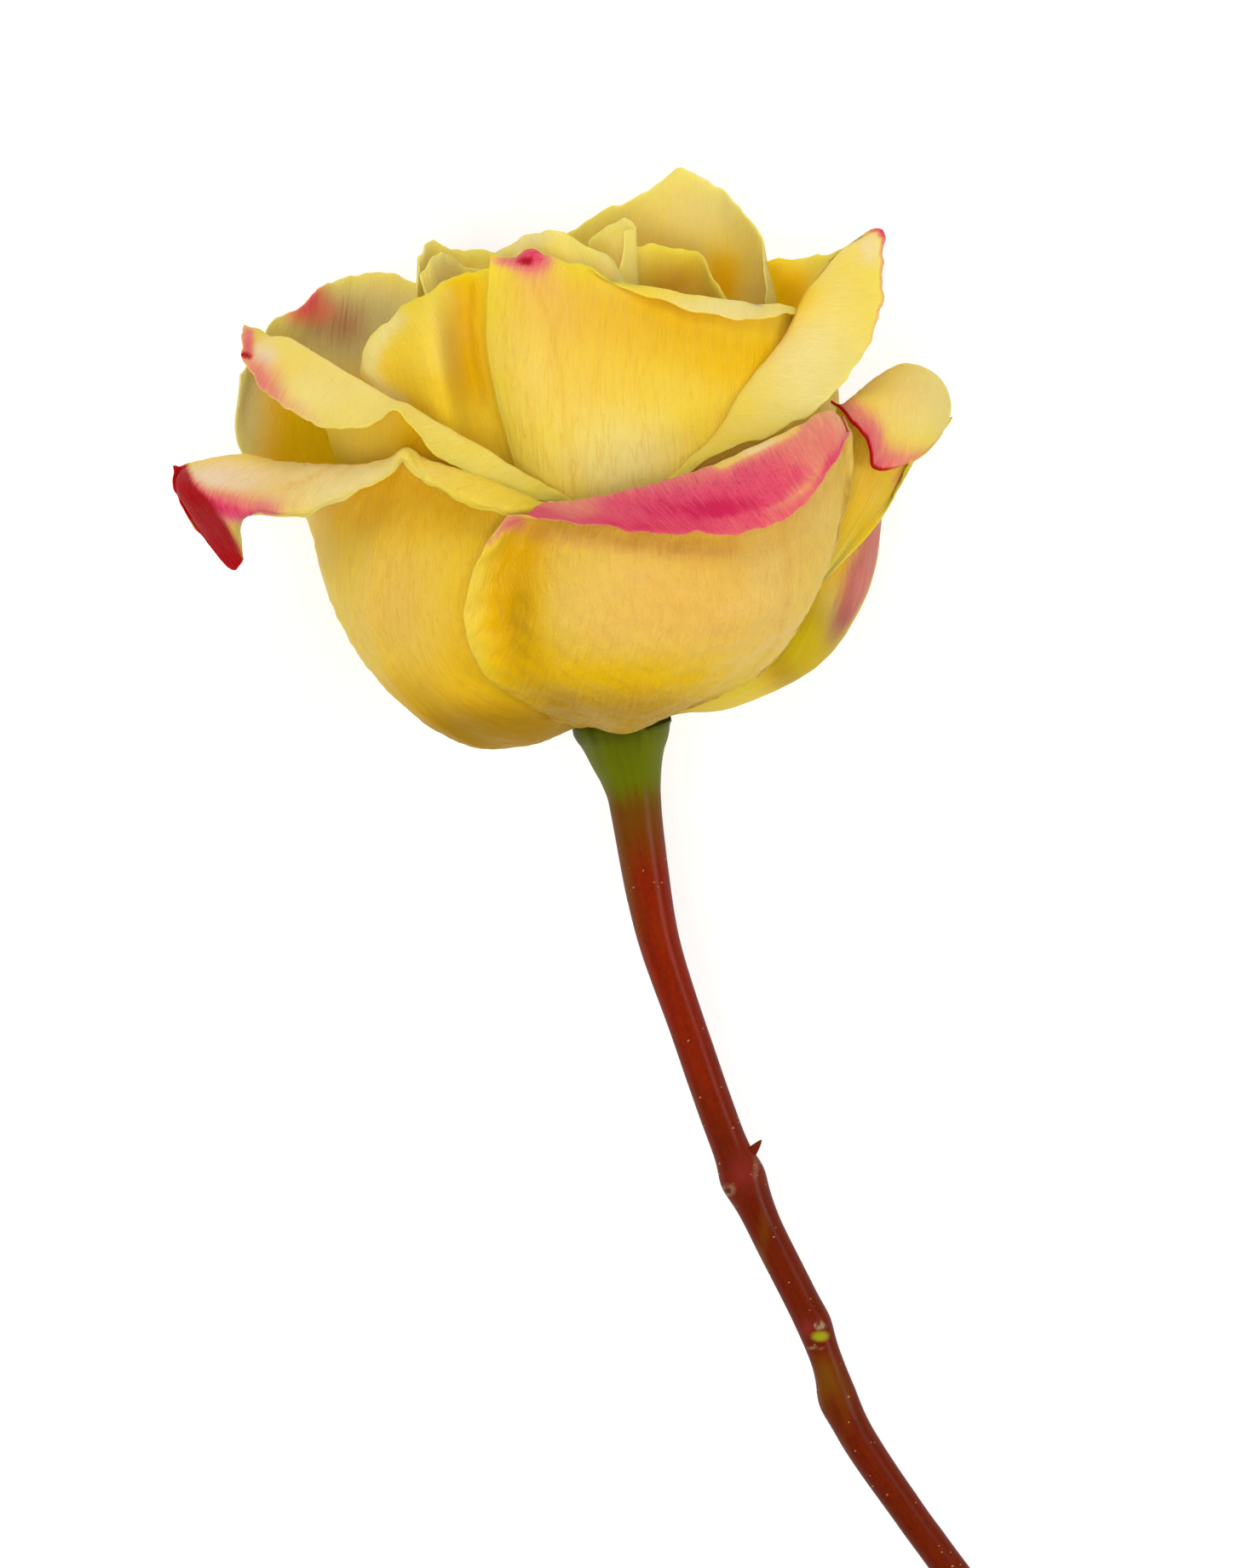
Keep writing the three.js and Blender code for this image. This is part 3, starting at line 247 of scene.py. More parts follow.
      [[5, 4, 1.5], [9.5, 15, 3], [12.5, 31, 5], [13.3, 41, 7], [12.6, 49, 8.5]],
    ],
  },
  {
    "name": "petal_heart_curl", "facing": 310, "root": 2.1, "ribs": [
      [[-1.4, 5, 0], [-1.8, 15, 0.8], [-3, 32, 2.4], [-3.8, 47, 4.2], [-3.7, 57, 5]],
      [[-0.6, 5, 0], [-0.4, 15, 0.6], [-1.2, 32, 2], [-1.8, 48, 3.8], [-1.5, 58.6, 4.6]],
      [[0.2, 5, 0.2], [0.8, 15, 0.9], [0.8, 32, 2.2], [0.6, 48, 4.4], [0.6, 59.3, 5.4]],
      [[0.8, 5, 0.6], [1.8, 15, 1.5], [2, 32, 3.6], [1.8, 48, 5.8], [1.7, 58.5, 6.6]],
      [[1, 5, 1.2], [2, 15, 2.6], [1.8, 32, 5.6], [-0.9, 49, 9], [0.5, 57.8, 8.2]],
    ],
  },
]

# Petals that the others hide: [radius, height] up the middle, half width in degrees,
# how much lower the sides end, and how much further in one side lies than the other
RULED_PETALS = [
  {
    "name": "petal_back_outer_left", "facing": 266, "reach": 33, "root": 5.8, "drop": 7, "tuck": 1.6,
    "levels": [[12.2, 3.4], [23.4, 9], [30, 19], [33.1, 30], [35.2, 38], [35.8, 42]],
  },
  {
    "name": "petal_back_outer_right", "facing": 306, "reach": 28, "root": 5.8, "drop": 8, "tuck": 1.2,
    "levels": [[11.6, 3.2], [22, 8.2], [28.6, 18.5], [30.6, 27], [31.8, 33], [32.4, 36.5]],
  },
  {
    "name": "petal_back_middle", "facing": 268, "reach": 46, "root": 4.9, "drop": 8, "tuck": 1.2,
    "levels": [[10, 4], [19, 10.5], [24.5, 22], [26.5, 36], [29, 46]],
  },
  {
    "name": "petal_back_right", "facing": 325, "reach": 42, "root": 4.9, "drop": 9, "tuck": 1,
    "levels": [[9.5, 4.2], [18, 11.5], [22, 22], [23, 35], [24, 43]],
  },
  {
    "name": "petal_inner_right", "facing": 350, "reach": 46, "root": 4, "drop": 7, "tuck": 1,
    "levels": [[8, 4.5], [13, 12], [16, 24], [16.5, 36], [15, 45]],
  },
  {
    "name": "petal_heart_back", "facing": 258, "reach": 52, "root": 3, "drop": 6, "tuck": 1,
    "levels": [[6, 4.5], [11, 14], [14, 30], [14.5, 43], [12.5, 52]],
  },
  {
    "name": "petal_heart_left", "facing": 185, "reach": 58, "root": 2.1, "drop": 6, "tuck": 1.2,
    "levels": [[5, 5], [8.5, 14], [10.5, 30], [10.5, 43], [8, 51]],
  },
  {
    "name": "petal_heart_core_front", "facing": 65, "reach": 66, "root": 2.1, "drop": 5, "tuck": 1.2,
    "levels": [[4, 6], [6, 14], [7.2, 30], [7.2, 42], [5, 50]],
  },
  {
    "name": "petal_heart_core_back", "facing": 285, "reach": 66, "root": 2.1, "drop": 5, "tuck": 1.2,
    "levels": [[3.5, 6], [4.4, 14], [5.2, 30], [5.2, 42], [3.4, 49]],
  },
]

ROOT_HALF_ANGLE = 24
ROOT_HEIGHT = 0.6
ROOT_OUTERMOST = 5.8
ROOT_CLIMB = 0.8
ARC_SCALE = 25
RULED_RIBS = 5


# Petal surfaces

def along_curve(points, shares):
    """Points at the shares of centripetal curves; points is [knot, curve, xyz]."""
    last = len(points) - 1
    place = np.clip(shares, 0, 1) * last
    first = np.minimum(place.astype(int), last - 1)
    within = (place - first)[:, None, None]
    knots = np.concatenate([[2 * points[0] - points[1]], points, [2 * points[-1] - points[-2]]])
    a, b, c, d = (knots[first + step] for step in range(4))

    def apart(p, q):
        return np.sqrt(np.maximum(np.linalg.norm(q - p, axis=-1, keepdims=True), 1e-3))

    at_b = apart(a, b)
    at_c = at_b + apart(b, c)
    at_d = at_c + apart(c, d)
    t = at_b + (at_c - at_b) * within

    def blend(p, q, start, end):
        return p + (q - p) * (t - start) / (end - start)

    ab = blend(a, b, 0 * at_b, at_b)
    bc = blend(b, c, at_b, at_c)
    cd = blend(c, d, at_c, at_d)
    return blend(blend(ab, bc, 0 * at_b, at_c), blend(bc, cd, at_b, at_d), at_b, at_c)


def root_row(petal, count):
    shares = np.linspace(-1, 1, count)
    turn = np.radians(petal["facing"] + ROOT_HALF_ANGLE * shares)
    height = ROOT_HEIGHT + (ROOT_OUTERMOST - petal["root"]) * ROOT_CLIMB
    return np.stack([turn * ARC_SCALE, np.full(count, petal["root"]), np.full(count, height)], axis=-1)


def shaped_ribs(petal):
    ribs = np.array(petal["ribs"], dtype=float)
    right, front, up = ribs @ RIGHT, ribs @ FRONT, ribs @ AXIS
    middle = math.radians(petal["facing"])
    turn = np.arctan2(front, right) - middle
    turn -= 2 * math.pi * np.round(turn / (2 * math.pi))
    places = np.stack([(middle + turn) * ARC_SCALE, np.hypot(right, front), up], axis=-1)
    row = root_row(petal, len(ribs))
    if places[0, 1, 0] > places[-1, 1, 0]:
        row = row[::-1]
    return np.concatenate([row[:, None], places], axis=1)


def ruled_ribs(petal):
    levels = np.array(petal["levels"], dtype=float)
    side = np.linspace(-1, 1, RULED_RIBS)[:, None]
    rise = (np.arange(len(levels)) + 1) / len(levels)
    turn = np.radians(petal["facing"] + side * petal["reach"] * (1 - 0.22 * rise ** 4))
    radius = levels[:, 0] + petal["tuck"] * side * rise
    height = levels[:, 1] - petal["drop"] * rise ** 2 * np.abs(side) ** 2.4
    places = np.stack([turn * ARC_SCALE, radius, height], axis=-1)
    return np.concatenate([root_row(petal, RULED_RIBS)[:, None], places], axis=1)


def sheet_of(petal, across, along):
    """The middle of a petal as a grid [row, column, xyz] in mm, rows from root to edge."""
    ribs = shaped_ribs(petal) if "ribs" in petal else ruled_ribs(petal)
    rows = along_curve(ribs.transpose(1, 0, 2), np.linspace(0, 1, along + 1))
    grid = along_curve(rows.transpose(1, 0, 2), np.linspace(0, 1, across + 1)).transpose(1, 0, 2)
    turn = grid[..., 0] / ARC_SCALE
    return (FOOT + np.cos(turn)[..., None] * grid[..., 1:2] * RIGHT
            + np.sin(turn)[..., None] * grid[..., 1:2] * FRONT + grid[..., 2:3] * AXIS)


def normals_of(grid):
    sideways = np.gradient(grid, axis=1)
    upwards = np.gradient(grid, axis=0)
    normals = np.cross(sideways, upwards)
    return normals / np.maximum(np.linalg.norm(normals, axis=-1, keepdims=True), 1e-9)


def outward_sign(grid, normals):
    """+1 where the grid's normals point away from the bloom's axis low on the cup."""
    rows = slice(len(grid) // 6, len(grid) // 2)
    away = grid[rows] - FOOT
    away = away - (away @ AXIS)[..., None] * AXIS
    return 1.0 if np.sum(normals[rows] * away) > 0 else -1.0


def lengths_from(grid, axis):
    steps = np.linalg.norm(np.diff(grid, axis=axis), axis=-1)
    zero = np.zeros_like(np.take(steps, [0], axis=axis))
    return np.concatenate([zero, np.cumsum(steps, axis=axis)], axis=axis)


# Fine relief of a living petal, in mm
RIM_RIPPLE = 0.28
RIM_RIPPLE_REACH = 7.0
NICK = 0.16
NICK_REACH = 1.2
PLEAT = 0.06
CREASE = 0.085
# The creases of a crinkled petal: mm from one to the next, and how they lean from level
CREASES = [(3.1, 0.3), (4.3, -0.5), (2.3, 0.9), (5.6, 0.1)]
SHEET_THICKNESS = 0.62
MARGIN_THICKNESS = 0.24
MARGIN_REACH = 2.4
# How far the rim bulges out, as a share of the margin's thickness
RIM_BULGE = 0.35
# Mm from one wave to the next, along a margin and along its ragged top, and the number of pleats across
RIM_WAVES = (16.0, 9.0, 5.2, 3.1)
RAGGED_WAVES = (6.1, 3.3, 1.9)
PLEAT_COUNTS = (17, 29, 43)
# How crinkled a petal is where its table doesn't say
PLAIN_CRINKLE = 0.12
# The lowest that a petal or the stem may lie above the table, in mm
FLOOR_GAP = 0.02


def rippled(grid, rng, crinkled, ruffled):
    """The grid with a soft ripple near its free margins, faint pleats up the petal and silky creases over it.

    The top margin is a little ragged.
    """
    rows, columns = grid.shape[:2]
    u = np.linspace(0, 1, columns)[None, :]
    v = np.linspace(0, 1, rows)[:, None]
    length = lengths_from(grid, 0)
    width = lengths_from(grid, 1)
    to_edge = length[-1:] - length
    to_side = np.minimum(width, width[:, -1:] - width)
    near = np.exp(-np.minimum(to_edge, to_side + 6 * (1 - v)) / RIM_RIPPLE_REACH) * v
    wave = np.zeros((rows, columns))
    for apart in RIM_WAVES:
        phase = rng.uniform(0, 2 * math.pi)
        lean = rng.uniform(-2.5, 2.5)
        wave += np.sin(2 * math.pi * (width / apart + lean * v) + phase) * 2.6 / (1.6 + 38 / apart)
    pleats = np.zeros((rows, columns))
    for cycles in PLEAT_COUNTS:
        phase = rng.uniform(0, 2 * math.pi)
        pleats += np.sin(2 * math.pi * cycles * u + phase + 1.5 * np.sin(3 * v + phase)) * 9 / cycles
    creases = np.zeros((rows, columns))
    for apart, lean in CREASES:
        phase = rng.uniform(0, 2 * math.pi)
        bent = phase + 1.7 * np.sin(width / 5.1 + phase) + 1.3 * np.sin(length / 6.3 - 2 * phase)
        creases += np.sin(2 * math.pi * (length * math.cos(lean) + width * math.sin(lean)) / apart + bent)
    ragged = np.zeros((rows, columns))
    for apart in RAGGED_WAVES:
        ragged += np.sin(2 * math.pi * width / apart + rng.uniform(0, 2 * math.pi)) * apart / 6
    upwards = np.gradient(grid, axis=0)
    upwards /= np.maximum(np.linalg.norm(upwards, axis=-1, keepdims=True), 1e-9)
    rise = RIM_RIPPLE * ruffled * near * wave + PLEAT * pleats * np.sin(math.pi * np.clip(v, 0, 1)) * 0.6
    rise += CREASE * crinkled * creases * np.sin(math.pi * np.clip(v, 0, 1)) ** 0.5
    reach = NICK * ragged * np.exp(-to_edge / NICK_REACH)
    return grid + normals_of(grid) * rise[..., None] + upwards * reach[..., None]


def petal_mesh(petal):
    """A closed thin sheet, thinner at its margins, with what its material reads on each corner."""
    across, along = petal["fine"]
    rng = np.random.default_rng(petal["seed"])
    design = TINTS.get(petal["name"], {})
    crinkled = design.get("crinkled", PLAIN_CRINKLE)
    grid = rippled(sheet_of(petal, across, along), rng, crinkled, design.get("ruffled", 1.0))
    normals = normals_of(grid)
    normals = normals * outward_sign(grid, normals)
    length = lengths_from(grid, 0)
    width = lengths_from(grid, 1)
    to_edge = length[-1:] - length
    to_side = np.minimum(width, width[:, -1:] - width)
    margin = np.minimum(to_edge, to_side)
    swell = 1 - np.exp(-margin / MARGIN_REACH)
    half = (MARGIN_THICKNESS + (SHEET_THICKNESS - MARGIN_THICKNESS) * swell)[..., None] / 2
    outer = grid + normals * half
    inner = grid - normals * half
    rows, columns = grid.shape[:2]
    index = np.arange(rows * columns).reshape(rows, columns)
    border = np.concatenate([index[0, :-1], index[:-1, -1], index[-1, :0:-1], index[:0:-1, 0]])
    flat = grid.reshape(-1, 3)
    ahead = np.roll(flat[border], -1, axis=0) - np.roll(flat[border], 1, axis=0)
    push = np.cross(ahead, normals.reshape(-1, 3)[border])
    push /= np.maximum(np.linalg.norm(push, axis=1, keepdims=True), 1e-9)
    middle = flat.mean(axis=0)
    if np.sum(push * (flat[border] - middle)) < 0:
        push = -push
    rim = flat[border] + push * MARGIN_THICKNESS * RIM_BULGE
    count = rows * columns
    vertices = np.concatenate([outer.reshape(-1, 3), inner.reshape(-1, 3), rim])
    a, b = index[:-1, :-1].ravel(), index[:-1, 1:].ravel()
    c, d = index[1:, 1:].ravel(), index[1:, :-1].ravel()
    faces = np.concatenate([
        np.stack([a, b, c, d], axis=1),
        np.stack([a, d, c, b], axis=1) + count,
    ])
    here = np.arange(len(border))
    there = np.roll(here, -1)
    low, high = border, np.roll(border, -1)
    faces = np.concatenate([
        faces,
        np.stack([low, 2 * count + here, 2 * count + there, high], axis=1),
        np.stack([2 * count + here, low + count, high + count, 2 * count + there], axis=1),
    ])
    side = np.concatenate([np.ones(count), np.zeros(count), np.full(len(border), 0.5)])

    def on_all(values):
        values = values.reshape(count, -1)
        return np.concatenate([values, values, values[border]])

    share_across, share_up = np.meshgrid(np.linspace(0, 1, columns), np.linspace(0, 1, rows))
    facts = {
        "to_edge": on_all(to_edge)[:, 0], "from_left": on_all(width)[:, 0],
        "from_right": on_all(width[:, -1:] - width)[:, 0],
        "face": side, "u": on_all(share_across)[:, 0], "v": on_all(share_up)[:, 0],
        "across": on_all(width - width[:, -1:] / 2)[:, 0], "along": on_all(length)[:, 0],
    }
    vertices[:, 2] = np.maximum(vertices[:, 2], FLOOR_GAP)
    return vertices, faces, facts


def note_facts(mesh, facts):
    """Facts of each corner kept on a mesh as attributes that its material reads."""
    for key, values in facts.items():
        kind, field = ("FLOAT", "value") if values.ndim == 1 else ("FLOAT_VECTOR", "vector")
        noted = mesh.attributes.new(key, kind, "POINT")
        noted.data.foreach_set(field, values.astype(np.float32).ravel())


def solid_object(name, vertices, faces, facts):
    """A smooth object in metres from vertices in mm, its faces outwards, with its facts as attributes."""
    if signed_volume(vertices, faces) < 0:
        faces = faces[:, ::-1]
    mesh = bpy.data.meshes.new(name)
    mesh.from_pydata((vertices * MM).tolist(), [], faces.tolist())
    mesh.validate()
    note_facts(mesh, facts)
    mesh.shade_smooth()
    made = bpy.data.objects.new(name, mesh)
    bpy.context.scene.collection.objects.link(made)
    return made


def signed_volume(vertices, faces):
    total = 0.0
    for second in range(1, faces.shape[1] - 1):
        a, b, c = vertices[faces[:, 0]], vertices[faces[:, second]], vertices[faces[:, second + 1]]
        total += np.einsum("ij,ij->i", a, np.cross(b, c)).sum() / 6
    return total


# Shader and Geometry Nodes helpers

class Value:
    """A number that varies over a surface: plain arithmetic on it adds Math nodes."""

    def __init__(self, bench, socket):
        self.bench = bench
        self.socket = socket

    def _math(self, operation, *terms):
        made = self.bench.node("ShaderNodeMath", {"operation": operation}, dict(enumerate(terms)))
        return Value(self.bench, made.outputs[0])

    def __add__(self, other):
        return self._math("ADD", self, other)

    __radd__ = __add__

    def __sub__(self, other):
        return self._math("SUBTRACT", self, other)

    def __rsub__(self, other):
        return self._math("SUBTRACT", other, self)

    def __mul__(self, other):
        return self._math("MULTIPLY", self, other)

    __rmul__ = __mul__

    def __truediv__(self, other):
        return self._math("DIVIDE", self, other)

    def __pow__(self, other):
        return self._math("POWER", self, other)

    def sine(self):
        return self._math("SINE", self)

    def cosine(self):
        return self._math("COSINE", self)

    def size(self):
        return self._math("ABSOLUTE", self)

    def between(self, low, high):
        """0 below low, 1 above high and smooth between them."""
        settings = {"interpolation_type": "SMOOTHSTEP"}
        made = self.bench.node("ShaderNodeMapRange", settings, {0: self, 1: low, 2: high})
        return Value(self.bench, made.outputs[0])


class Bench:
    """Where the nodes of one material or one Geometry Nodes tree are put together."""

    def __init__(self, tree):
        self.tree = tree

    def node(self, kind, settings=None, inputs=None):
        made = self.tree.nodes.new(kind)
        for name, value in (settings or {}).items():
            setattr(made, name, value)
        for key, value in (inputs or {}).items():
            value = value.socket if isinstance(value, Value) else value
            if isinstance(value, bpy.types.NodeSocket):
                self.tree.links.new(value, made.inputs[key])
            else:
                made.inputs[key].default_value = value
        return made

    def fact(self, name):
        return Value(self, self.node("ShaderNodeAttribute", {"attribute_name": name}).outputs[2])

    def fact_vector(self, name):
        return self.node("ShaderNodeAttribute", {"attribute_name": name}).outputs[1]

    def stretched(self, vector, scale):
        return self.node("ShaderNodeVectorMath", {"operation": "MULTIPLY"}, {0: vector, 1: scale}).outputs[0]

    def noise(self, vector, scale, detail=3.0, roughness=0.5, distortion=0.0):
        made = self.node("ShaderNodeTexNoise", {}, {
            "Vector": vector, "Scale": scale, "Detail": detail, "Roughness": roughness,
            "Distortion": distortion})
        return Value(self, made.outputs[0])

    def cells(self, vector, scale):
        made = self.node("ShaderNodeTexVoronoi", {}, {"Vector": vector, "Scale": scale})
        return Value(self, made.outputs[0])

    def blend(self, share, under, over):
        made = self.node("ShaderNodeMix", {"data_type": "RGBA"}, {0: share, 6: under, 7: over})
        return made.outputs[2]

    def times(self, colour, share, factor):
        """The colour multiplied by another one where share is 1."""
        settings = {"data_type": "RGBA", "blend_type": "MULTIPLY"}
        made = self.node("ShaderNodeMix", settings, {0: share, 6: colour, 7: factor})
        return made.outputs[2]


def colour(red, green, blue):
    """A colour given as it looks on a screen, 0 to 255, for a socket."""
    channels = []
    for channel in (red, green, blue):
        share = channel / 255
        channels.append(share / 12.92 if share <= 0.04045 else ((share + 0.055) / 1.055) ** 2.4)
    return (*channels, 1.0)


def blank_material(name):
    material = bpy.data.materials.new(name)
    material.use_nodes = True
    material.node_tree.nodes.clear()
    return material, Bench(material.node_tree)


def finish_material(bench, constants, varying):
    shader = bench.node("ShaderNodeBsdfPrincipled", {}, {**constants, **varying})
    bench.node("ShaderNodeOutputMaterial", {}, {"Surface": shader.outputs[0]})


# Petal finish

YELLOW = colour(250, 212, 64)
# Gold is the petals' own deeper yellow, and also painted shade low on the cup, in its hollows and under
# rolled rims
GOLD = colour(240, 190, 0)
# Cream is the petals' own pale tone, and in places painted highlight on the brightest faces
CREAM = colour(248, 222, 144)
PEACH = colour(242, 190, 92)
# Amber is mostly painted shade: low on the petals, in creases, valleys and hollows, and under rolled rims
AMBER = colour(168, 126, 0)
VEIN = colour(226, 160, 20)
KHAKI = colour(204, 196, 138)
# Olive is mostly painted shade in folds and hollows and low on the petals
OLIVE = colour(212, 182, 0)
PALE = colour(246, 216, 182)
# A dull pink; on the right low petal it is the pink margin with painted shade
MUTED_PINK = colour(172, 90, 86)
SALMON = colour(234, 142, 118)
ROSE = colour(226, 80, 110)
MAGENTA = colour(206, 28, 84)
CRIMSON = colour(166, 0, 8)
# Darkens the hollows of the crinkles, which is painted shade, and the petal's fine hairlines
STRIATION_AND_WRINKLE_SHADE = (0.84, 0.78, 0.5, 1.0)


def petal_material():
    material, bench = blank_material("petal")
    grain = bench.fact_vector("grain")
    streaks = bench.noise(bench.stretched(grain, (1.0, 0.07, 1.0)), 2.6, 4.0, 0.6, 0.15)
    hairlines = bench.noise(bench.stretched(grain, (1.0, 0.045, 1.0)), 9.0, 3.0, 0.65, 0.1)
    veins = bench.noise(bench.stretched(grain, (1.0, 0.10, 1.0)), 0.95, 2.0, 0.5, 0.4)
    clouds = bench.noise(grain, 0.16, 3.0, 0.5)
    crinkles = bench.noise(bench.stretched(grain, (1.0, 0.42, 1.0)), 1.15, 5.0, 0.62, 0.8)
    speckles = bench.noise(bench.stretched(grain, (1.0, 0.6, 1.0)), 2.4, 5.0, 0.75)
    cells = bench.cells(grain, 5.5)
    uneven = streaks - 0.5
    # Gold: the petals' deeper yellow, with painted shade low on the cup and in its hollows
    base = bench.blend((bench.fact("gold") + uneven * 0.35).between(0.0, 1.0), YELLOW, GOLD)
    # Cream: the petals' pale tone, and in places painted highlight
    creamy = bench.fact("cream") + uneven * 0.3 + (clouds - 0.5) * 0.35
    base = bench.blend(creamy.between(0.08, 1.0), base, CREAM)
    peachy = bench.fact("peach") + uneven * 0.3 + (clouds - 0.5) * 0.3
    base = bench.blend(peachy.between(0.05, 1.05), base, PEACH)
    # Amber: mostly painted shade in creases, hollows, under rims and low on the petals
    base = bench.blend((bench.fact("amber") + uneven * 0.4).between(0.1, 1.1), base, AMBER)
    # Olive: mostly painted shade in folds and hollows
    base = bench.blend((bench.fact("olive") + uneven * 0.3).between(0.1, 1.0), base, OLIVE)
    base = bench.blend((bench.fact("khaki") + uneven * 0.25).between(0.1, 1.1), base, KHAKI)
    base = bench.blend((bench.fact("pale") + uneven * 0.3).between(0.1, 1.0), base, PALE)
    base = bench.blend(bench.fact("vein") * 0.7, base, VEIN)
    vein_line = 1 - (veins - 0.5).size().between(0.0, 0.035)
    base = bench.blend(vein_line * bench.fact("veined") * 0.5, base, VEIN)
    # Dull pink: on the right low petal, the pink margin with painted shade
    base = bench.blend((bench.fact("dull_pink") + uneven * 0.5).between(0.15, 1.0), base, MUTED_PINK)
    flush = bench.fact("flush") * (1 + uneven * 0.9) + (hairlines - 0.5) * 0.25 * bench.fact("flush")
    base = bench.blend(flush.between(0.06, 0.5), base, SALMON)
    base = bench.blend(flush.between(0.35, 0.85), base, ROSE)
    base = bench.blend(flush.between(0.8, 1.25), base, MAGENTA)
    base = bench.blend(flush.between(0.5, 0.9) * speckles.between(0.53, 0.63) * 0.75, base, MAGENTA)
    base = bench.blend((bench.fact("crimson") + uneven * 0.5).between(0.25, 0.9), base, CRIMSON)
    # Painted shade in the hollows of the crinkles, and darker fine hairlines
    crinkle_shade = crinkles.between(0.52, 0.68) * bench.fact("crinkled") * 0.25
    base = bench.times(base, crinkle_shade + hairlines.between(0.5, 0.66) * 0.22, STRIATION_AND_WRINKLE_SHADE)
    relief = streaks * 0.5 + hairlines * 0.4 + crinkles * bench.fact("crinkled") * 1.7 + cells * 0.1
    bump = bench.node("ShaderNodeBump", {}, {"Strength": 0.8, "Distance": 0.0005, "Height": relief})
    roughness = 0.5 + (hairlines - 0.5) * 0.2 - bench.fact("crinkled") * 0.06
    gloss = 0.08 + (streaks - 0.5) * 0.1 - bench.fact("gold") * 0.08 - bench.fact("crimson") * 0.1
    gloss = gloss + bench.fact("crinkled") * 0.12
    finish_material(bench, {
        "Subsurface Weight": 0.7, "Subsurface Radius": (1.0, 0.85, 0.15), "Subsurface Scale": 0.0016,
        "Specular IOR Level": 0.05, "Sheen Weight": 0.01, "Sheen Roughness": 0.4, "Coat Roughness": 0.34,
    }, {
        "Base Color": base, "Roughness": roughness, "Normal": bump.outputs[0],
        "Coat Weight": gloss,
    })
    return material
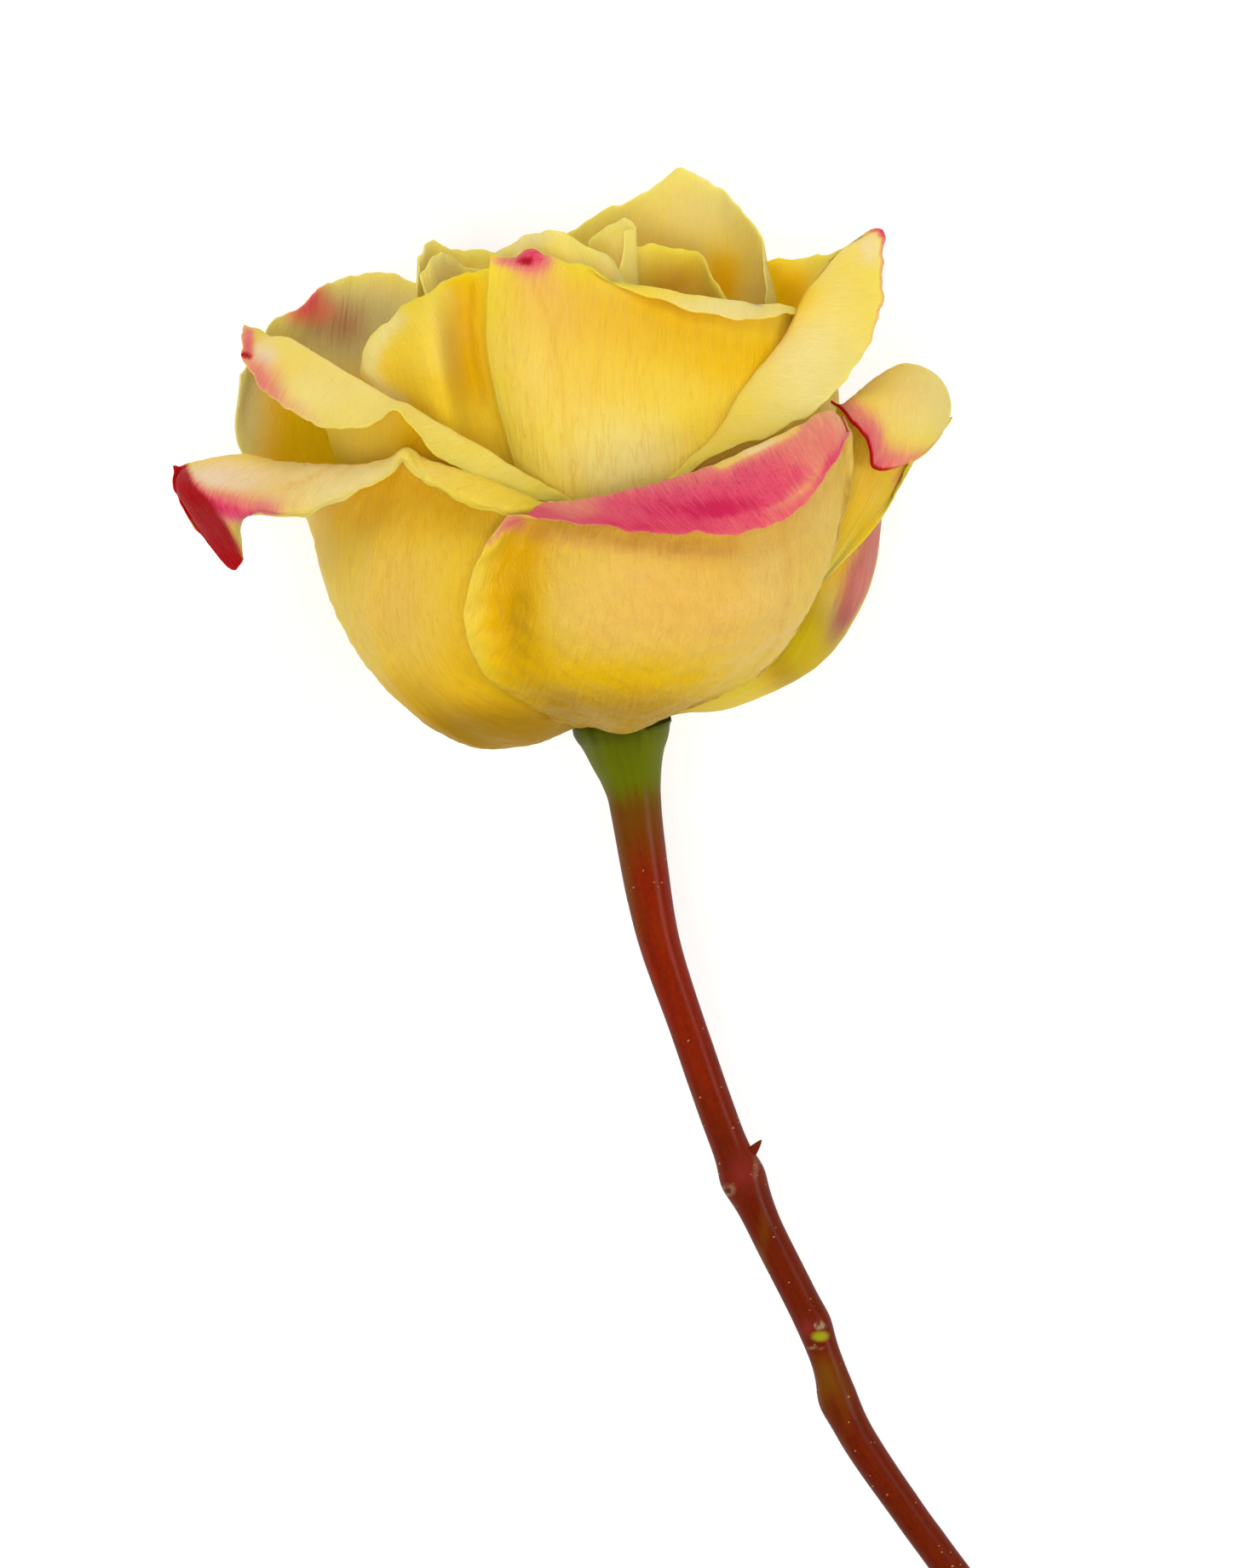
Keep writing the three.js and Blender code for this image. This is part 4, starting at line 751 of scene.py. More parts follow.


# Where each petal is tinted. A number beside a tint's name is its strength all over the petal, and
# crinkled and ruffled shape its sheet as well.
# A spot is (tint, x, y, reach across, reach up, strength) in mm from the foot, on the outer or the inner
# face or on both. A stroke is (face, tint, width, strength, points along it) and follows a crease or a vein.
# Its points are (x, y), for every height, or (x, y, height). A rim is (face, tint, margin, width, strengths)
# and follows the top, left or right margin, its strengths given as (share along the margin, strength).
# Gold, amber, olive and khaki along creases, in hollows, under rolled rims and low on the petals are painted
# shade, and cream and peach on some bright faces are painted highlight
TINT_NAMES = ("gold", "amber", "olive", "cream", "pale", "peach", "khaki",
              "dull_pink", "flush", "crimson", "vein", "veined", "crinkled")
TINTS = {
    "petal_front_cup": {
        "gold": 0.16, "peach": 0.7, "crinkled": 0.9, "veined": 0.3,
        "spots": {
            "outer": [
                # Peach across the middle of the face: partly the petal's tone, partly painted highlight
                ("peach", 7.0, 12.5, 9.0, 5.0, 0.3),
                # Gold and amber along the bottom: painted shade of the cup's underside
                ("gold", 2.0, 3.2, 16.0, 5.0, 1.15),
                ("amber", 1.0, 0.4, 20.0, 4.0, 0.85),
                # Cream across the right and the middle of the face: painted highlight
                ("cream", 17.0, 17.5, 4.0, 6.0, 0.7),
                ("cream", 3.0, 13.0, 10.0, 4.0, 0.5),
                # Less peach at the bottom, and olive, gold and amber in the valley by the left margin:
                # painted shade
                ("peach", 1.0, 2.0, 18.0, 5.0, -0.95),
                ("peach", -12.8, 12.0, 4.0, 12.0, -0.95),
                ("olive", -12.4, 11.0, 3.0, 8.0, 0.25),
                ("gold", -14.4, 13.0, 2.4, 8.0, 0.5),
                ("amber", -12.8, 12.0, 3.0, 9.0, 0.45),
                # Cream on the right shoulder, under the rolled band: painted light
                ("cream", 22.5, 24.5, 3.0, 4.0, 0.5),
            ],
            "inner": [
                ("flush", 12.5, 24.4, 4.2, 1.5, 0.4),
                ("flush", 24.4, 29.6, 1.3, 2.8, 0.25),
                ("pale", 17.0, 31.6, 5.5, 1.5, 0.6),
                ("flush", -10.5, 23.6, 3.0, 2.0, 0.3),
            ],
        },
        "strokes": [
            ("inner", "flush", 5.0, 0.46, [(-10.0, 23.8), (-4.0, 23.8), (10.0, 27.0), (24.0, 33.5)]),
            ("inner", "flush", 4.2, 0.4, [(1.0, 23.6), (10.0, 24.6), (17.0, 27.0)]),
            ("inner", "flush", 1.5, 0.24, [
                (4.0, 24.0), (10.0, 23.9), (15.0, 24.4), (18.5, 26.0), (21.0, 28.6)]),
            # Less pink and a cream line along the fold of the rolled band: painted highlight
            ("inner", "flush", 0.9, -0.75, [(11.5, 30.0), (15.5, 32.0), (19.5, 34.2)]),
            ("inner", "cream", 1.0, 0.8, [(11.5, 30.2), (15.5, 32.2), (19.5, 34.4)]),
            ("inner", "flush", 0.35, -0.14, [(8.0, 22.4), (13.5, 23.4), (18.6, 25.0), (21.8, 27.2)]),
            ("outer", "flush", 1.3, 0.5, [(-15.9, 21.2), (-14.4, 22.8), (-12.4, 23.2)]),
            # Gold and amber down the valley by the left margin: painted shade
            ("outer", "gold", 3.2, 1.0, [
                (-10.8, 21.0), (-11.4, 16.0), (-11.6, 11.0), (-10.4, 6.0), (-7.6, 2.0)]),
            ("outer", "amber", 2.4, 0.25, [
                (-10.8, 20.0), (-11.2, 15.0), (-11.4, 11.0), (-10.0, 6.0), (-7.0, 2.0)]),
            # Amber under the rolled band: its painted shadow
            ("outer", "amber", 1.7, 0.4, [(-9.0, 21.6), (-1.0, 20.6), (6.0, 19.8), (12.5, 20.2)]),
            ("outer", "flush", 1.6, 0.17, [(-10.0, 21.6), (-4.0, 20.8), (2.0, 20.0), (12.0, 19.4)]),
            ("outer", "vein", 0.35, 0.4, [
                (18.7, 22.3), (19.4, 18.9), (19.4, 14.2), (18.3, 9.2), (15.5, 5.8)]),
            # Amber down the crease on the right: painted shade
            ("outer", "amber", 1.5, 0.75, [
                (27.0, 27.6, 21.0), (25.8, 23.1, 21.4), (24.9, 20.8, 21.4), (23.5, 17.4, 21.0),
                (22.1, 13.9, 20.0), (20.6, 11.0, 18.8), (19.0, 8.0, 17.4), (16.5, 5.2, 15.0)]),
        ],
        "rims": [
            ("both", "flush", "top", 1.4, [
                (0.12, 0.0), (0.3, 0.3), (0.45, 0.45), (0.8, 0.45), (0.95, 0.25)]),
        ],
    },
    "petal_left_shelf": {
        "gold": 0.28, "peach": 0.3, "veined": 0.6, "crinkled": 0.5,
        "spots": {
            "inner": [
                ("cream", -37.0, 28.0, 13.0, 4.0, 0.95),
                ("pale", -48.0, 28.6, 6.5, 2.4, 0.95),
                ("flush", -41.0, 25.2, 4.4, 1.6, 0.2),
                ("flush", -46.5, 26.4, 4.6, 1.6, 0.2),
                ("gold", -28.5, 29.0, 3.0, 3.0, 0.25),
                ("khaki", -46.0, 29.5, 5.0, 1.6, 0.3),
            ],
            "outer": [
                ("peach", -27.0, 13.0, 6.0, 9.0, 0.45),
                # Gold by the front cup and under the rolled margin, and gold and amber along the bottom:
                # painted shade
                ("gold", -18.0, 8.0, 3.5, 12.0, 0.5),
                ("gold", -24.0, 26.0, 10.0, 5.0, 0.85),
                ("gold", -19.0, 0.0, 15.0, 6.0, 1.1),
                ("amber", -16.0, -1.6, 14.0, 4.6, 1.05),
                ("amber", -27.0, 4.0, 6.0, 3.0, 0.3),
                # Khaki along the left edge: painted shade
                ("khaki", -34.5, 17.0, 2.0, 8.0, 0.25),
            ],
            "both": [
                ("gold", -44.4, 22.2, 1.4, 2.6, 0.9),
                ("khaki", -44.4, 22.0, 1.5, 2.6, 1.0),
                ("amber", -44.2, 21.8, 1.4, 2.6, 0.7),
                ("flush", -44.0, 22.0, 1.3, 2.4, -0.3),
                ("olive", -44.6, 22.0, 1.3, 2.8, 1.0),
            ],
        },
        "strokes": [
            ("both", "crimson", 1.8, 1.7, [
                (-53.6, 30.2), (-52.3, 27.0), (-50.0, 24.8), (-48.4, 22.2), (-47.0, 19.6), (-45.9, 17.6)]),
            ("inner", "flush", 1.7, 0.55, [
                (-52.4, 28.2), (-50.0, 26.2), (-47.2, 25.0), (-44.6, 24.2), (-42.0, 23.8)]),
            ("inner", "flush", 0.7, 0.3, [(-51.4, 27.6), (-49.4, 25.9), (-46.8, 24.7), (-43.6, 23.9)]),
            ("inner", "amber", 0.2, 0.6, [(-38.1, 31.1), (-37.6, 30.6), (-37.4, 29.8), (-37.0, 29.2)]),
            ("inner", "amber", 0.2, 0.5, [(-38.9, 27.9), (-37.6, 28.3), (-36.0, 28.9)]),
            ("inner", "peach", 0.25, 0.4, [(-40.0, 27.1), (-37.0, 28.2), (-34.4, 29.8)]),
            ("inner", "peach", 3.2, 0.3, [(-52.0, 29.0), (-47.0, 27.6), (-40.0, 27.0)]),
            ("both", "dull_pink", 1.2, 0.95, [(-48.6, 24.0), (-47.2, 22.4), (-46.2, 20.4)]),
        ],
    },
    "petal_left_upper": {
        "gold": 0.3, "cream": 0.4,
        "spots": {
            "inner": [
                ("cream", -35.0, 38.0, 9.0, 5.0, 0.25),
                ("pale", -42.8, 43.2, 2.6, 2.2, 0.8),
                ("flush", -41.4, 41.0, 2.6, 2.6, 0.2),
            ],
            "outer": [
                ("cream", -26.0, 32.0, 12.0, 6.0, -0.4),
                ("gold", -24.0, 32.0, 3.0, 5.0, 0.6),
                ("amber", -22.0, 30.0, 12.0, 7.0, -0.9),
            ],
            "both": [("khaki", -45.2, 45.6, 0.9, 1.6, 1.0)],
        },
        "strokes": [
            ("both", "flush", 0.6, 0.3, [(-44.4, 46.2), (-44.3, 43.6)]),
            ("both", "crimson", 0.5, 1.0, [(-45.6, 43.6), (-44.2, 43.2)]),
        ],
        "rims": [
            ("inner", "flush", "top", 2.4, [
                (0.62, 0.0), (0.75, 0.3), (0.85, 0.4), (0.94, 0.35), (1.0, 0.25)]),
        ],
    },
    "petal_back_left": {
        "gold": 0.4, "khaki": 0.1,
        "spots": {
            "both": [
                ("khaki", -33.0, 48.0, 11.0, 6.5, 1.05),
                ("cream", -29.0, 48.0, 9.0, 6.0, 0.95),
                # Olive and gold deep inside the petal, at (-34, 34): painted shade
                ("olive", -34.0, 34.0, 10.0, 9.0, 1.1),
                ("gold", -32.0, 48.0, 10.0, 5.0, -0.4),
                ("gold", -36.0, 34.0, 8.0, 8.0, 0.9),
                ("khaki", -46.0, 36.0, 3.4, 12.0, 0.95),
                ("amber", -34.0, 34.0, 11.0, 9.0, -1.2),
                ("flush", -37.6, 49.8, 3.2, 2.2, 0.5),
                ("dull_pink", -34.4, 48.4, 5.0, 4.0, 0.6),
            ],
        },
        "rims": [
            ("both", "flush", "top", 1.5, [
                (0.16, 0.0), (0.28, 0.2), (0.37, 0.35), (0.43, 0.25), (0.52, 0.1), (0.65, 0.0)]),
        ],
    },
    "petal_mid_left": {
        "gold": 0.42, "cream": 0.12, "veined": 0.25,
        "strokes": [
            # Amber, gold and olive down the fold beside the front centre petal: painted shade
            ("outer", "amber", 0.8, 0.45, [(-17.6, 51.5), (-17.8, 47.0), (-17.2, 42.0), (-16.2, 37.5)]),
            ("outer", "gold", 2.2, 0.5, [(-18.6, 51.0), (-18.9, 46.0), (-18.0, 40.0)]),
            ("outer", "olive", 1.6, 0.2, [
                (-18.6, 52.0), (-18.9, 48.6), (-18.2, 44.0), (-17.2, 40.0), (-16.0, 36.5)]),
            ("outer", "cream", 1.4, 0.7, [
                (-27.0, 47.2), (-29.4, 44.2), (-30.0, 41.6), (-28.8, 39.0), (-26.4, 37.2)]),
            # Cream left of the fold: painted highlight
            ("outer", "cream", 3.0, 0.3, [(-21.0, 49.0), (-21.5, 43.0)]),
        ],
    },
    "petal_front_centre": {
        "gold": 0.2, "cream": 0.1, "peach": 0.22, "veined": 0.5,
        "spots": {
            "outer": [
                ("flush", -9.5, 51.0, 4.0, 4.0, 0.16),
                ("cream", -10.5, 41.0, 4.2, 7.0, 0.35),
                ("peach", -4.0, 43.0, 10.0, 8.0, 0.3),
                # Khaki near the top, under the rim: painted shade
                ("khaki", -5.0, 50.0, 7.0, 2.6, 0.22),
                # Cream, and less gold and peach, low in the middle: painted light
                ("cream", 0.0, 30.0, 9.0, 7.0, 0.7),
                ("gold", -2.0, 30.0, 9.0, 6.0, -0.45),
                ("peach", -1.0, 29.0, 9.0, 6.0, -0.22),
                ("peach", -9.0, 48.0, 5.0, 4.0, 0.3),
            ],
            "both": [
                ("flush", -10.6, 54.6, 2.1, 1.9, 0.85),
                ("flush", -13.8, 54.0, 1.9, 0.9, 0.42),
                ("crimson", -11.3, 53.9, 1.3, 0.7, 0.9),
                ("peach", -10.5, 52.0, 3.0, 3.0, 0.3),
            ],
            "inner": [("cream", 12.0, 48.0, 9.0, 2.4, 0.8)],
        },
        "strokes": [
            # Gold and amber along the top, under the rolled rim: painted shade
            ("outer", "gold", 4.0, 0.75, [
                (-5.0, 48.5), (0.0, 47.0), (8.0, 44.5), (14.0, 42.5), (19.0, 42.0)]),
            ("outer", "amber", 2.2, 0.25, [
                (-3.0, 49.0), (2.0, 47.8), (8.0, 45.6), (14.0, 43.6), (19.0, 43.6)]),
            ("outer", "vein", 0.3, 0.32, [
                (-10.6, 51.8), (-8.7, 47.4), (-7.4, 41.6), (-6.8, 36.8), (-6.2, 32.1), (-5.5, 25.7)]),
            ("outer", "vein", 0.25, 0.28, [
                (-13.8, 41.3), (-10.9, 37.8), (-10.0, 33.5), (-8.4, 29.8), (-7.1, 26.3)]),
            ("outer", "vein", 0.25, 0.2, [(-2.0, 44.0), (-3.4, 38.0), (-4.0, 33.0), (-4.6, 27.5)]),
            ("outer", "vein", 0.25, 0.2, [(4.0, 41.0), (1.4, 35.0), (-1.0, 30.0), (-3.2, 26.5)]),
        ],
    },
    "petal_big_right": {
        "gold": 0.15, "cream": 0.42,
        "spots": {
            "both": [
                # Gold and olive, and less cream, in the hollow beyond the crest: painted shade
                ("gold", 18.5, 51.0, 3.8, 4.0, 1.0),
                ("cream", 18.5, 51.0, 3.8, 4.0, -0.8),
                ("olive", 18.3, 50.8, 3.4, 3.6, 0.8),
                ("pale", 29.4, 56.0, 2.0, 3.2, 0.6),
            ],
            "inner": [("cream", 22.0, 42.0, 5.0, 8.0, 0.5), ("gold", 12.0, 33.0, 6.0, 3.0, 0.4)],
        },
        "strokes": [("both", "khaki", 2.0, 0.3, [(16.0, 54.0), (22.0, 54.4)])],
        "rims": [
            ("both", "flush", "top", 0.8, [(0.68, 0.0), (0.74, 0.75), (0.79, 0.3), (0.85, 0.0)]),
            ("both", "flush", "top", 0.35, [(0.35, 0.0), (0.5, 0.35), (0.74, 0.5), (0.8, 0.0)]),
        ],
    },
    "petal_back_tall": {
        "gold": 0.05, "cream": 0.6, "khaki": 0.04,
        "spots": {
            "inner": [
                ("khaki", 0.0, 59.0, 7.0, 4.0, 0.35),
                # Gold, and less cream, in the hollow: painted shade
                ("gold", 12.0, 52.6, 2.4, 4.4, 0.8),
                ("cream", 12.0, 52.6, 2.6, 4.6, -0.5),
                ("amber", 12.0, 51.0, 1.6, 3.4, -0.3),
                ("cream", 10.0, 61.0, 5.0, 4.0, 0.3),
            ],
        },
    },
    "petal_right_wing": {
        "gold": 0.35, "cream": 0.25,
        "spots": {
            "inner": [
                ("cream", 34.5, 37.0, 5.0, 4.5, 0.55),
                ("peach", 33.0, 38.0, 6.0, 5.0, 0.55),
                ("khaki", 37.5, 36.0, 2.0, 4.0, 0.25),
            ],
            "outer": [
                # Gold on the blade's outer face: painted shade
                ("gold", 28.0, 25.0, 4.0, 7.0, 0.6),
                ("peach", 30.0, 25.0, 3.0, 6.0, 0.3),
                ("flush", 32.6, 28.5, 1.2, 1.6, 0.3),
            ],
        },
        "strokes": [
            # Amber along the crease: painted shade
            ("outer", "amber", 1.2, 0.35, [(26.8, 29.5), (25.6, 26.0), (24.8, 22.0), (24.2, 19.0)]),
        ],
        "rims": [
            ("inner", "flush", "top", 3.6, [
                (0.0, 0.4), (0.25, 0.65), (0.5, 0.7), (0.75, 0.4), (1.0, 0.0)]),
            ("both", "crimson", "top", 0.5, [(0.0, 1.1), (0.5, 1.1), (0.75, 0.4), (0.85, 0.0)]),
        ],
    },
    "petal_right_low": {
        "gold": 0.3, "khaki": 0.12,
        "spots": {
            "outer": [
                ("cream", 27.0, 8.0, 3.0, 4.0, 0.15),
                # Olive, gold and amber low on the petal, near (22, 9): painted shade
                ("olive", 22.0, 9.0, 5.0, 6.0, 0.9),
                ("gold", 22.0, 9.0, 6.0, 7.0, 0.5),
                ("gold", 24.4, 15.5, 2.0, 5.0, 0.9),
                ("khaki", 25.0, 13.0, 2.0, 5.0, 0.4),
                ("amber", 22.5, 8.0, 6.0, 6.0, 1.35),
            ],
        },
        "strokes": [
            # Dull pink over the side: the pink margin with painted shade
            ("outer", "dull_pink", 7.0, 0.35, [(30.0, 31.5, 0.0), (30.0, 26.0, 1.0)]),
            ("outer", "dull_pink", 5.0, 0.45, [
                (30.4, 31.5, 1.0), (30.0, 26.0, 4.0), (29.3, 19.5, 5.8), (28.6, 17.5, 6.8)]),
            ("outer", "dull_pink", 3.2, 0.5, [
                (30.0, 26.0, 4.0), (29.3, 19.5, 5.8), (28.0, 16.5, 7.4), (26.4, 13.2, 8.2)]),
            ("outer", "dull_pink", 2.6, 0.4, [(28.0, 16.5, 7.4), (26.4, 13.2, 8.2), (24.6, 9.8, 8.8)]),
            ("outer", "flush", 5.5, 0.3, [
                (30.0, 31.5, 0.0), (30.0, 26.0, 4.0), (29.3, 19.5, 5.8), (28.0, 16.5, 7.4)]),
        ],
        "rims": [("outer", "flush", "top", 2.6, [(0.0, 0.2), (0.4, 0.5), (0.75, 0.3), (1.0, 0.1)])],
    },
    "petal_top_left_outer": {"gold": 0.0, "cream": 0.6, "ruffled": 1.6},
    "petal_top_left_inner": {"gold": 0.0, "cream": 0.6, "ruffled": 1.6},
    "petal_heart_front": {
        "gold": 0.05, "cream": 0.6, "ruffled": 2.4,
        # Gold on the right, at (-1.6, 52.6): painted shade
        "spots": {"outer": [("gold", -1.6, 52.6, 2.0, 2.4, 0.8), ("pale", -11.0, 57.0, 5.0, 2.0, 0.5)]},
    },
    "petal_heart_right": {
        "gold": 0.15, "cream": 0.35,
        # Gold and amber in the hollow: painted shade
        "spots": {"inner": [("gold", 6.6, 52.0, 3.2, 2.6, 1.0), ("amber", 6.4, 51.4, 2.4, 1.8, 0.25)]},
    },
    "petal_heart_curl": {
        "gold": 0.1, "cream": 0.6, "ruffled": 1.4,
        "spots": {"inner": [("gold", -2.2, 54.6, 1.8, 2.2, 0.7)]},
    },
    "petal_back_right": {"gold": 0.6, "cream": 0.1},
}


def distance_to(places, line):
    """How far each place lies from a line of points, in mm."""
    nearest = np.full(len(places), np.inf)
    for start, end in zip(line[:-1], line[1:]):
        along = end - start
        share = np.clip((places - start) @ along / (along @ along), 0, 1)
        nearest = np.minimum(nearest, np.linalg.norm(places - start - share[:, None] * along, axis=1))
    return nearest


def tint_facts(name, vertices, facts, seed):
    """How strongly each tint lies on each corner of a petal."""
    tints = {tint: np.zeros(len(vertices)) for tint in TINT_NAMES}
    place = vertices - FOOT
    face = facts["face"]
    on = {"outer": face, "inner": 1 - face, "both": np.ones_like(face)}
    design = TINTS.get(name, {})
    # Painted shade: gold and amber deepen towards each petal's foot, low in the cup, where cream and peach
    # fade
    low = np.clip(1 - facts["v"] / 0.45, 0, 1) ** 1.4
    tints["gold"] += design.get("gold", 0.25) + 0.75 * low
    tints["amber"] += 0.75 * np.clip(1 - facts["v"] / 0.3, 0, 1) ** 1.5
    tints["veined"] += design.get("veined", 0.25) * np.sin(math.pi * np.clip(facts["v"], 0, 1))
    tints["crinkled"] += design.get("crinkled", PLAIN_CRINKLE)
    tints["cream"] += design.get("cream", 0.15) * (1 - low)
    tints["peach"] += design.get("peach", 0.0) * (1 - low)
    tints["khaki"] += design.get("khaki", 0.0)
    for where, spots in design.get("spots", {}).items():
        for tint, x, y, reach_x, reach_y, strength in spots:
            far = ((place[:, 0] - x) / reach_x) ** 2 + ((place[:, 1] - y) / reach_y) ** 2
            tints[tint] += strength * np.exp(-far) * on[where]
    for where, tint, width, strength, line in design.get("strokes", []):
        line = np.array(line)
        off = distance_to(place[:, :line.shape[1]], line)
        tints[tint] += strength * np.exp(-(off / width) ** 2) * on[where]
    off_margin = {"top": (facts["to_edge"], facts["u"]), "left": (facts["from_left"], facts["v"]),
                  "right": (facts["from_right"], facts["v"])}
    for where, tint, margin, width, strengths in design.get("rims", []):
        off, share = off_margin[margin]
        strength = np.interp(share, *zip(*strengths))
        tints[tint] += strength * np.exp(-(off / width) ** 2) * on[where]
    tints["grain"] = np.stack([facts["across"], facts["along"], np.full(len(vertices), seed * 3.7)], axis=1)
    return {key: (value if key == "grain" else np.clip(value, 0, 1.5)) for key, value in tints.items()}


FINE_LARGE = (110, 90)
FINE_SMALL = (56, 48)
FINE_TINY = (44, 34)


def grow_petals():
    finish = petal_material()
    for seed, petal in enumerate(SHAPED_PETALS + RULED_PETALS):
        petal["seed"] = seed + 11
        petal["fine"] = FINE_LARGE if "ribs" in petal else FINE_TINY
        if "heart" in petal["name"] or "top_left" in petal["name"]:
            petal["fine"] = FINE_SMALL
        vertices, faces, facts = petal_mesh(petal)
        tints = tint_facts(petal["name"], vertices, facts, seed)
        grown = solid_object(petal["name"].replace("petal_", "rose_petal_"), vertices, faces, tints)
        grown.data.materials.append(finish)
        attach(grown, "root")
        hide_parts(petal["name"])


grow_petals()


# Stem

# From the rim of the hip to the cut end: [x, y, z, radius] in mm from the foot
STEM_SECTIONS = [
  [0, -0.5, -0.1, 5.95],
  [0.25, -1.8, -0.3, 5.5],
  [0.55, -3.9, -0.6, 4.6],
  [1.05, -6.5, -1, 3.7],
  [1.45, -8.8, -1.3, 3.2],
  [1.8, -11.5, -1.7, 3],
  [3.2, -20.5, -3, 2.7],
  [4.5, -26.5, -4, 2.45],
  [8.05, -37.1, -5.6, 2.2],
  [12.4, -49.5, -7.5, 2.2],
  [14.7, -55, -8.4, 2.4],
  [17.1, -60.5, -9.3, 2.1],
  [22.6, -71.6, -11.2, 2.05],
  [24.4, -76.2, -12, 1.9],
  [26, -80.7, -12.7, 2.1],
  [27.9, -85.2, -13.4, 2.15],
  [34.6, -95.2, -15.2, 2],
  [37.7, -99.5, -16, 2],
  [46, -111, -18, 2.05],
  [53.5, -124, -20.3, 2.1],
  [59.5, -138, -22.7, 2.15],
  [63.5, -152, -25, 2.15],
  [66, -166, -27.1, 2.2],
  [67.5, -176, -28.1, 2.2],
]
HIP_TOP = [[5.9, -0.1], [5.3, 0.3], [3.2, 2], [1.2, 3.6]]
STEM_FINE = 12
CUT_SLANT = 0.7
# The cut face closes over rings of these shares of the stem's radius, this far apart in mm
CUT_RINGS = [0.97, 0.93, 0.75, 0.5, 0.25, 0.02]
CUT_STEP = 0.01

# The pointed stub of a side shoot: foot and tip in mm from the foot of the bloom, and radius
STUB_FOOT = np.array([13.6, -53, -8])
STUB_TIP = np.array([16.7, -50, -7.2])
STUB_RADIUS = 1.1


def stem_path():
    """Points and radii down the stem, from the top of the hip to the cut end, in mm."""
    sections = np.array(STEM_SECTIONS, dtype=float)
    shares = np.linspace(0, 1, (len(sections) - 1) * STEM_FINE + 1)
    centres = along_curve(sections[:, None, :3], shares)[:, 0] + FOOT
    radii = along_curve(np.repeat(sections[:, None, 3:], 3, axis=2), shares)[:, 0, 0]
    top = np.array(HIP_TOP[::-1], dtype=float)
    dome = FOOT + top[:, 1:2] * AXIS
    ahead = centres[-1] - centres[-2]
    ahead /= np.linalg.norm(ahead)
    steps = CUT_STEP * np.arange(1, len(CUT_RINGS) + 1)
    cut = centres[-1] + steps[:, None] * ahead
    return (np.concatenate([dome, centres, cut]),
            np.concatenate([top[:, 0], radii, np.array(CUT_RINGS) * radii[-1]]))


def open_tree(name, sizes):
    """A Geometry Nodes tree with a geometry input and named sizes."""
    tree = bpy.data.node_groups.new(name, "GeometryNodeTree")
    tree.interface.new_socket("Geometry", in_out="INPUT", socket_type="NodeSocketGeometry")
    for size, (kind, _) in sizes.items():
        tree.interface.new_socket(size, in_out="INPUT", socket_type=kind)
    tree.interface.new_socket("Geometry", in_out="OUTPUT", socket_type="NodeSocketGeometry")
    bench = Bench(tree)
    return tree, bench, bench.node("NodeGroupInput")


def close_tree(bench, geometry, material):
    real = bench.node("GeometryNodeRealizeInstances", {}, {"Geometry": geometry})
    smooth = bench.node("GeometryNodeSetShadeSmooth", {}, {"Geometry": real.outputs[0]})
    painted = bench.node("GeometryNodeSetMaterial", {}, {"Geometry": smooth.outputs[0], "Material": material})
    bench.node("NodeGroupOutput", {}, {"Geometry": painted.outputs[0]})


def grown_with(name, mesh, tree, sizes, material):
    """A plain object made from a mesh by a tree, its sizes set by the sockets' identifiers."""
    host = bpy.data.objects.new(name + "_guide", mesh)
    bpy.context.scene.collection.objects.link(host)
    modifier = host.modifiers.new("grow", "NODES")
    modifier.node_group = tree
    for item in tree.interface.items_tree:
        if item.item_type == "SOCKET" and item.in_out == "INPUT" and item.name in sizes:
            modifier[item.identifier] = sizes[item.name][1]
    host.update_tag()
    bpy.context.view_layer.update()
    evaluated = host.evaluated_get(bpy.context.evaluated_depsgraph_get())
    plain = bpy.data.meshes.new_from_object(evaluated)
    host.modifiers.remove(modifier)
    bpy.data.objects.remove(host)
    plain.name = name
    made = bpy.data.objects.new(name, plain)
    bpy.context.scene.collection.objects.link(made)
    if not plain.materials:
        plain.materials.append(material)
    return made


STEM_SIZES = {
    "Sides": ("NodeSocketInt", 48), "Relief": ("NodeSocketFloat", 0.00006),
    "Relief scale": ("NodeSocketFloat", 260.0),
}


def stem_tree(material):
    """A tube along a line of points, as thick as each point's radius, with a faint uneven skin."""
    tree, bench, given = open_tree("stem_tube", STEM_SIZES)
    path = bench.node("GeometryNodeMeshToCurve", {}, {"Mesh": given.outputs["Geometry"]})
    section = bench.node("GeometryNodeCurvePrimitiveCircle", {}, {
        "Resolution": given.outputs["Sides"], "Radius": 1.0})
    radius = bench.node("GeometryNodeInputNamedAttribute", {"data_type": "FLOAT"}, {"Name": "radius"})
    tube = bench.node("GeometryNodeCurveToMesh", {}, {
        "Curve": path.outputs[0], "Profile Curve": section.outputs[0], "Scale": radius.outputs[0],
        "Fill Caps": True})
    place = bench.node("GeometryNodeInputPosition").outputs[0]
    noise = bench.noise(place, given.outputs["Relief scale"], 3.0)
    normal = bench.node("GeometryNodeInputNormal").outputs[0]
    push = (noise - 0.5) * Value(bench, given.outputs["Relief"])
    offset = bench.node("ShaderNodeVectorMath", {"operation": "SCALE"}, {0: normal, "Scale": push})
    uneven = bench.node("GeometryNodeSetPosition", {}, {
        "Geometry": tube.outputs[0], "Offset": offset.outputs[0]})
    close_tree(bench, uneven.outputs[0], material)
    return tree


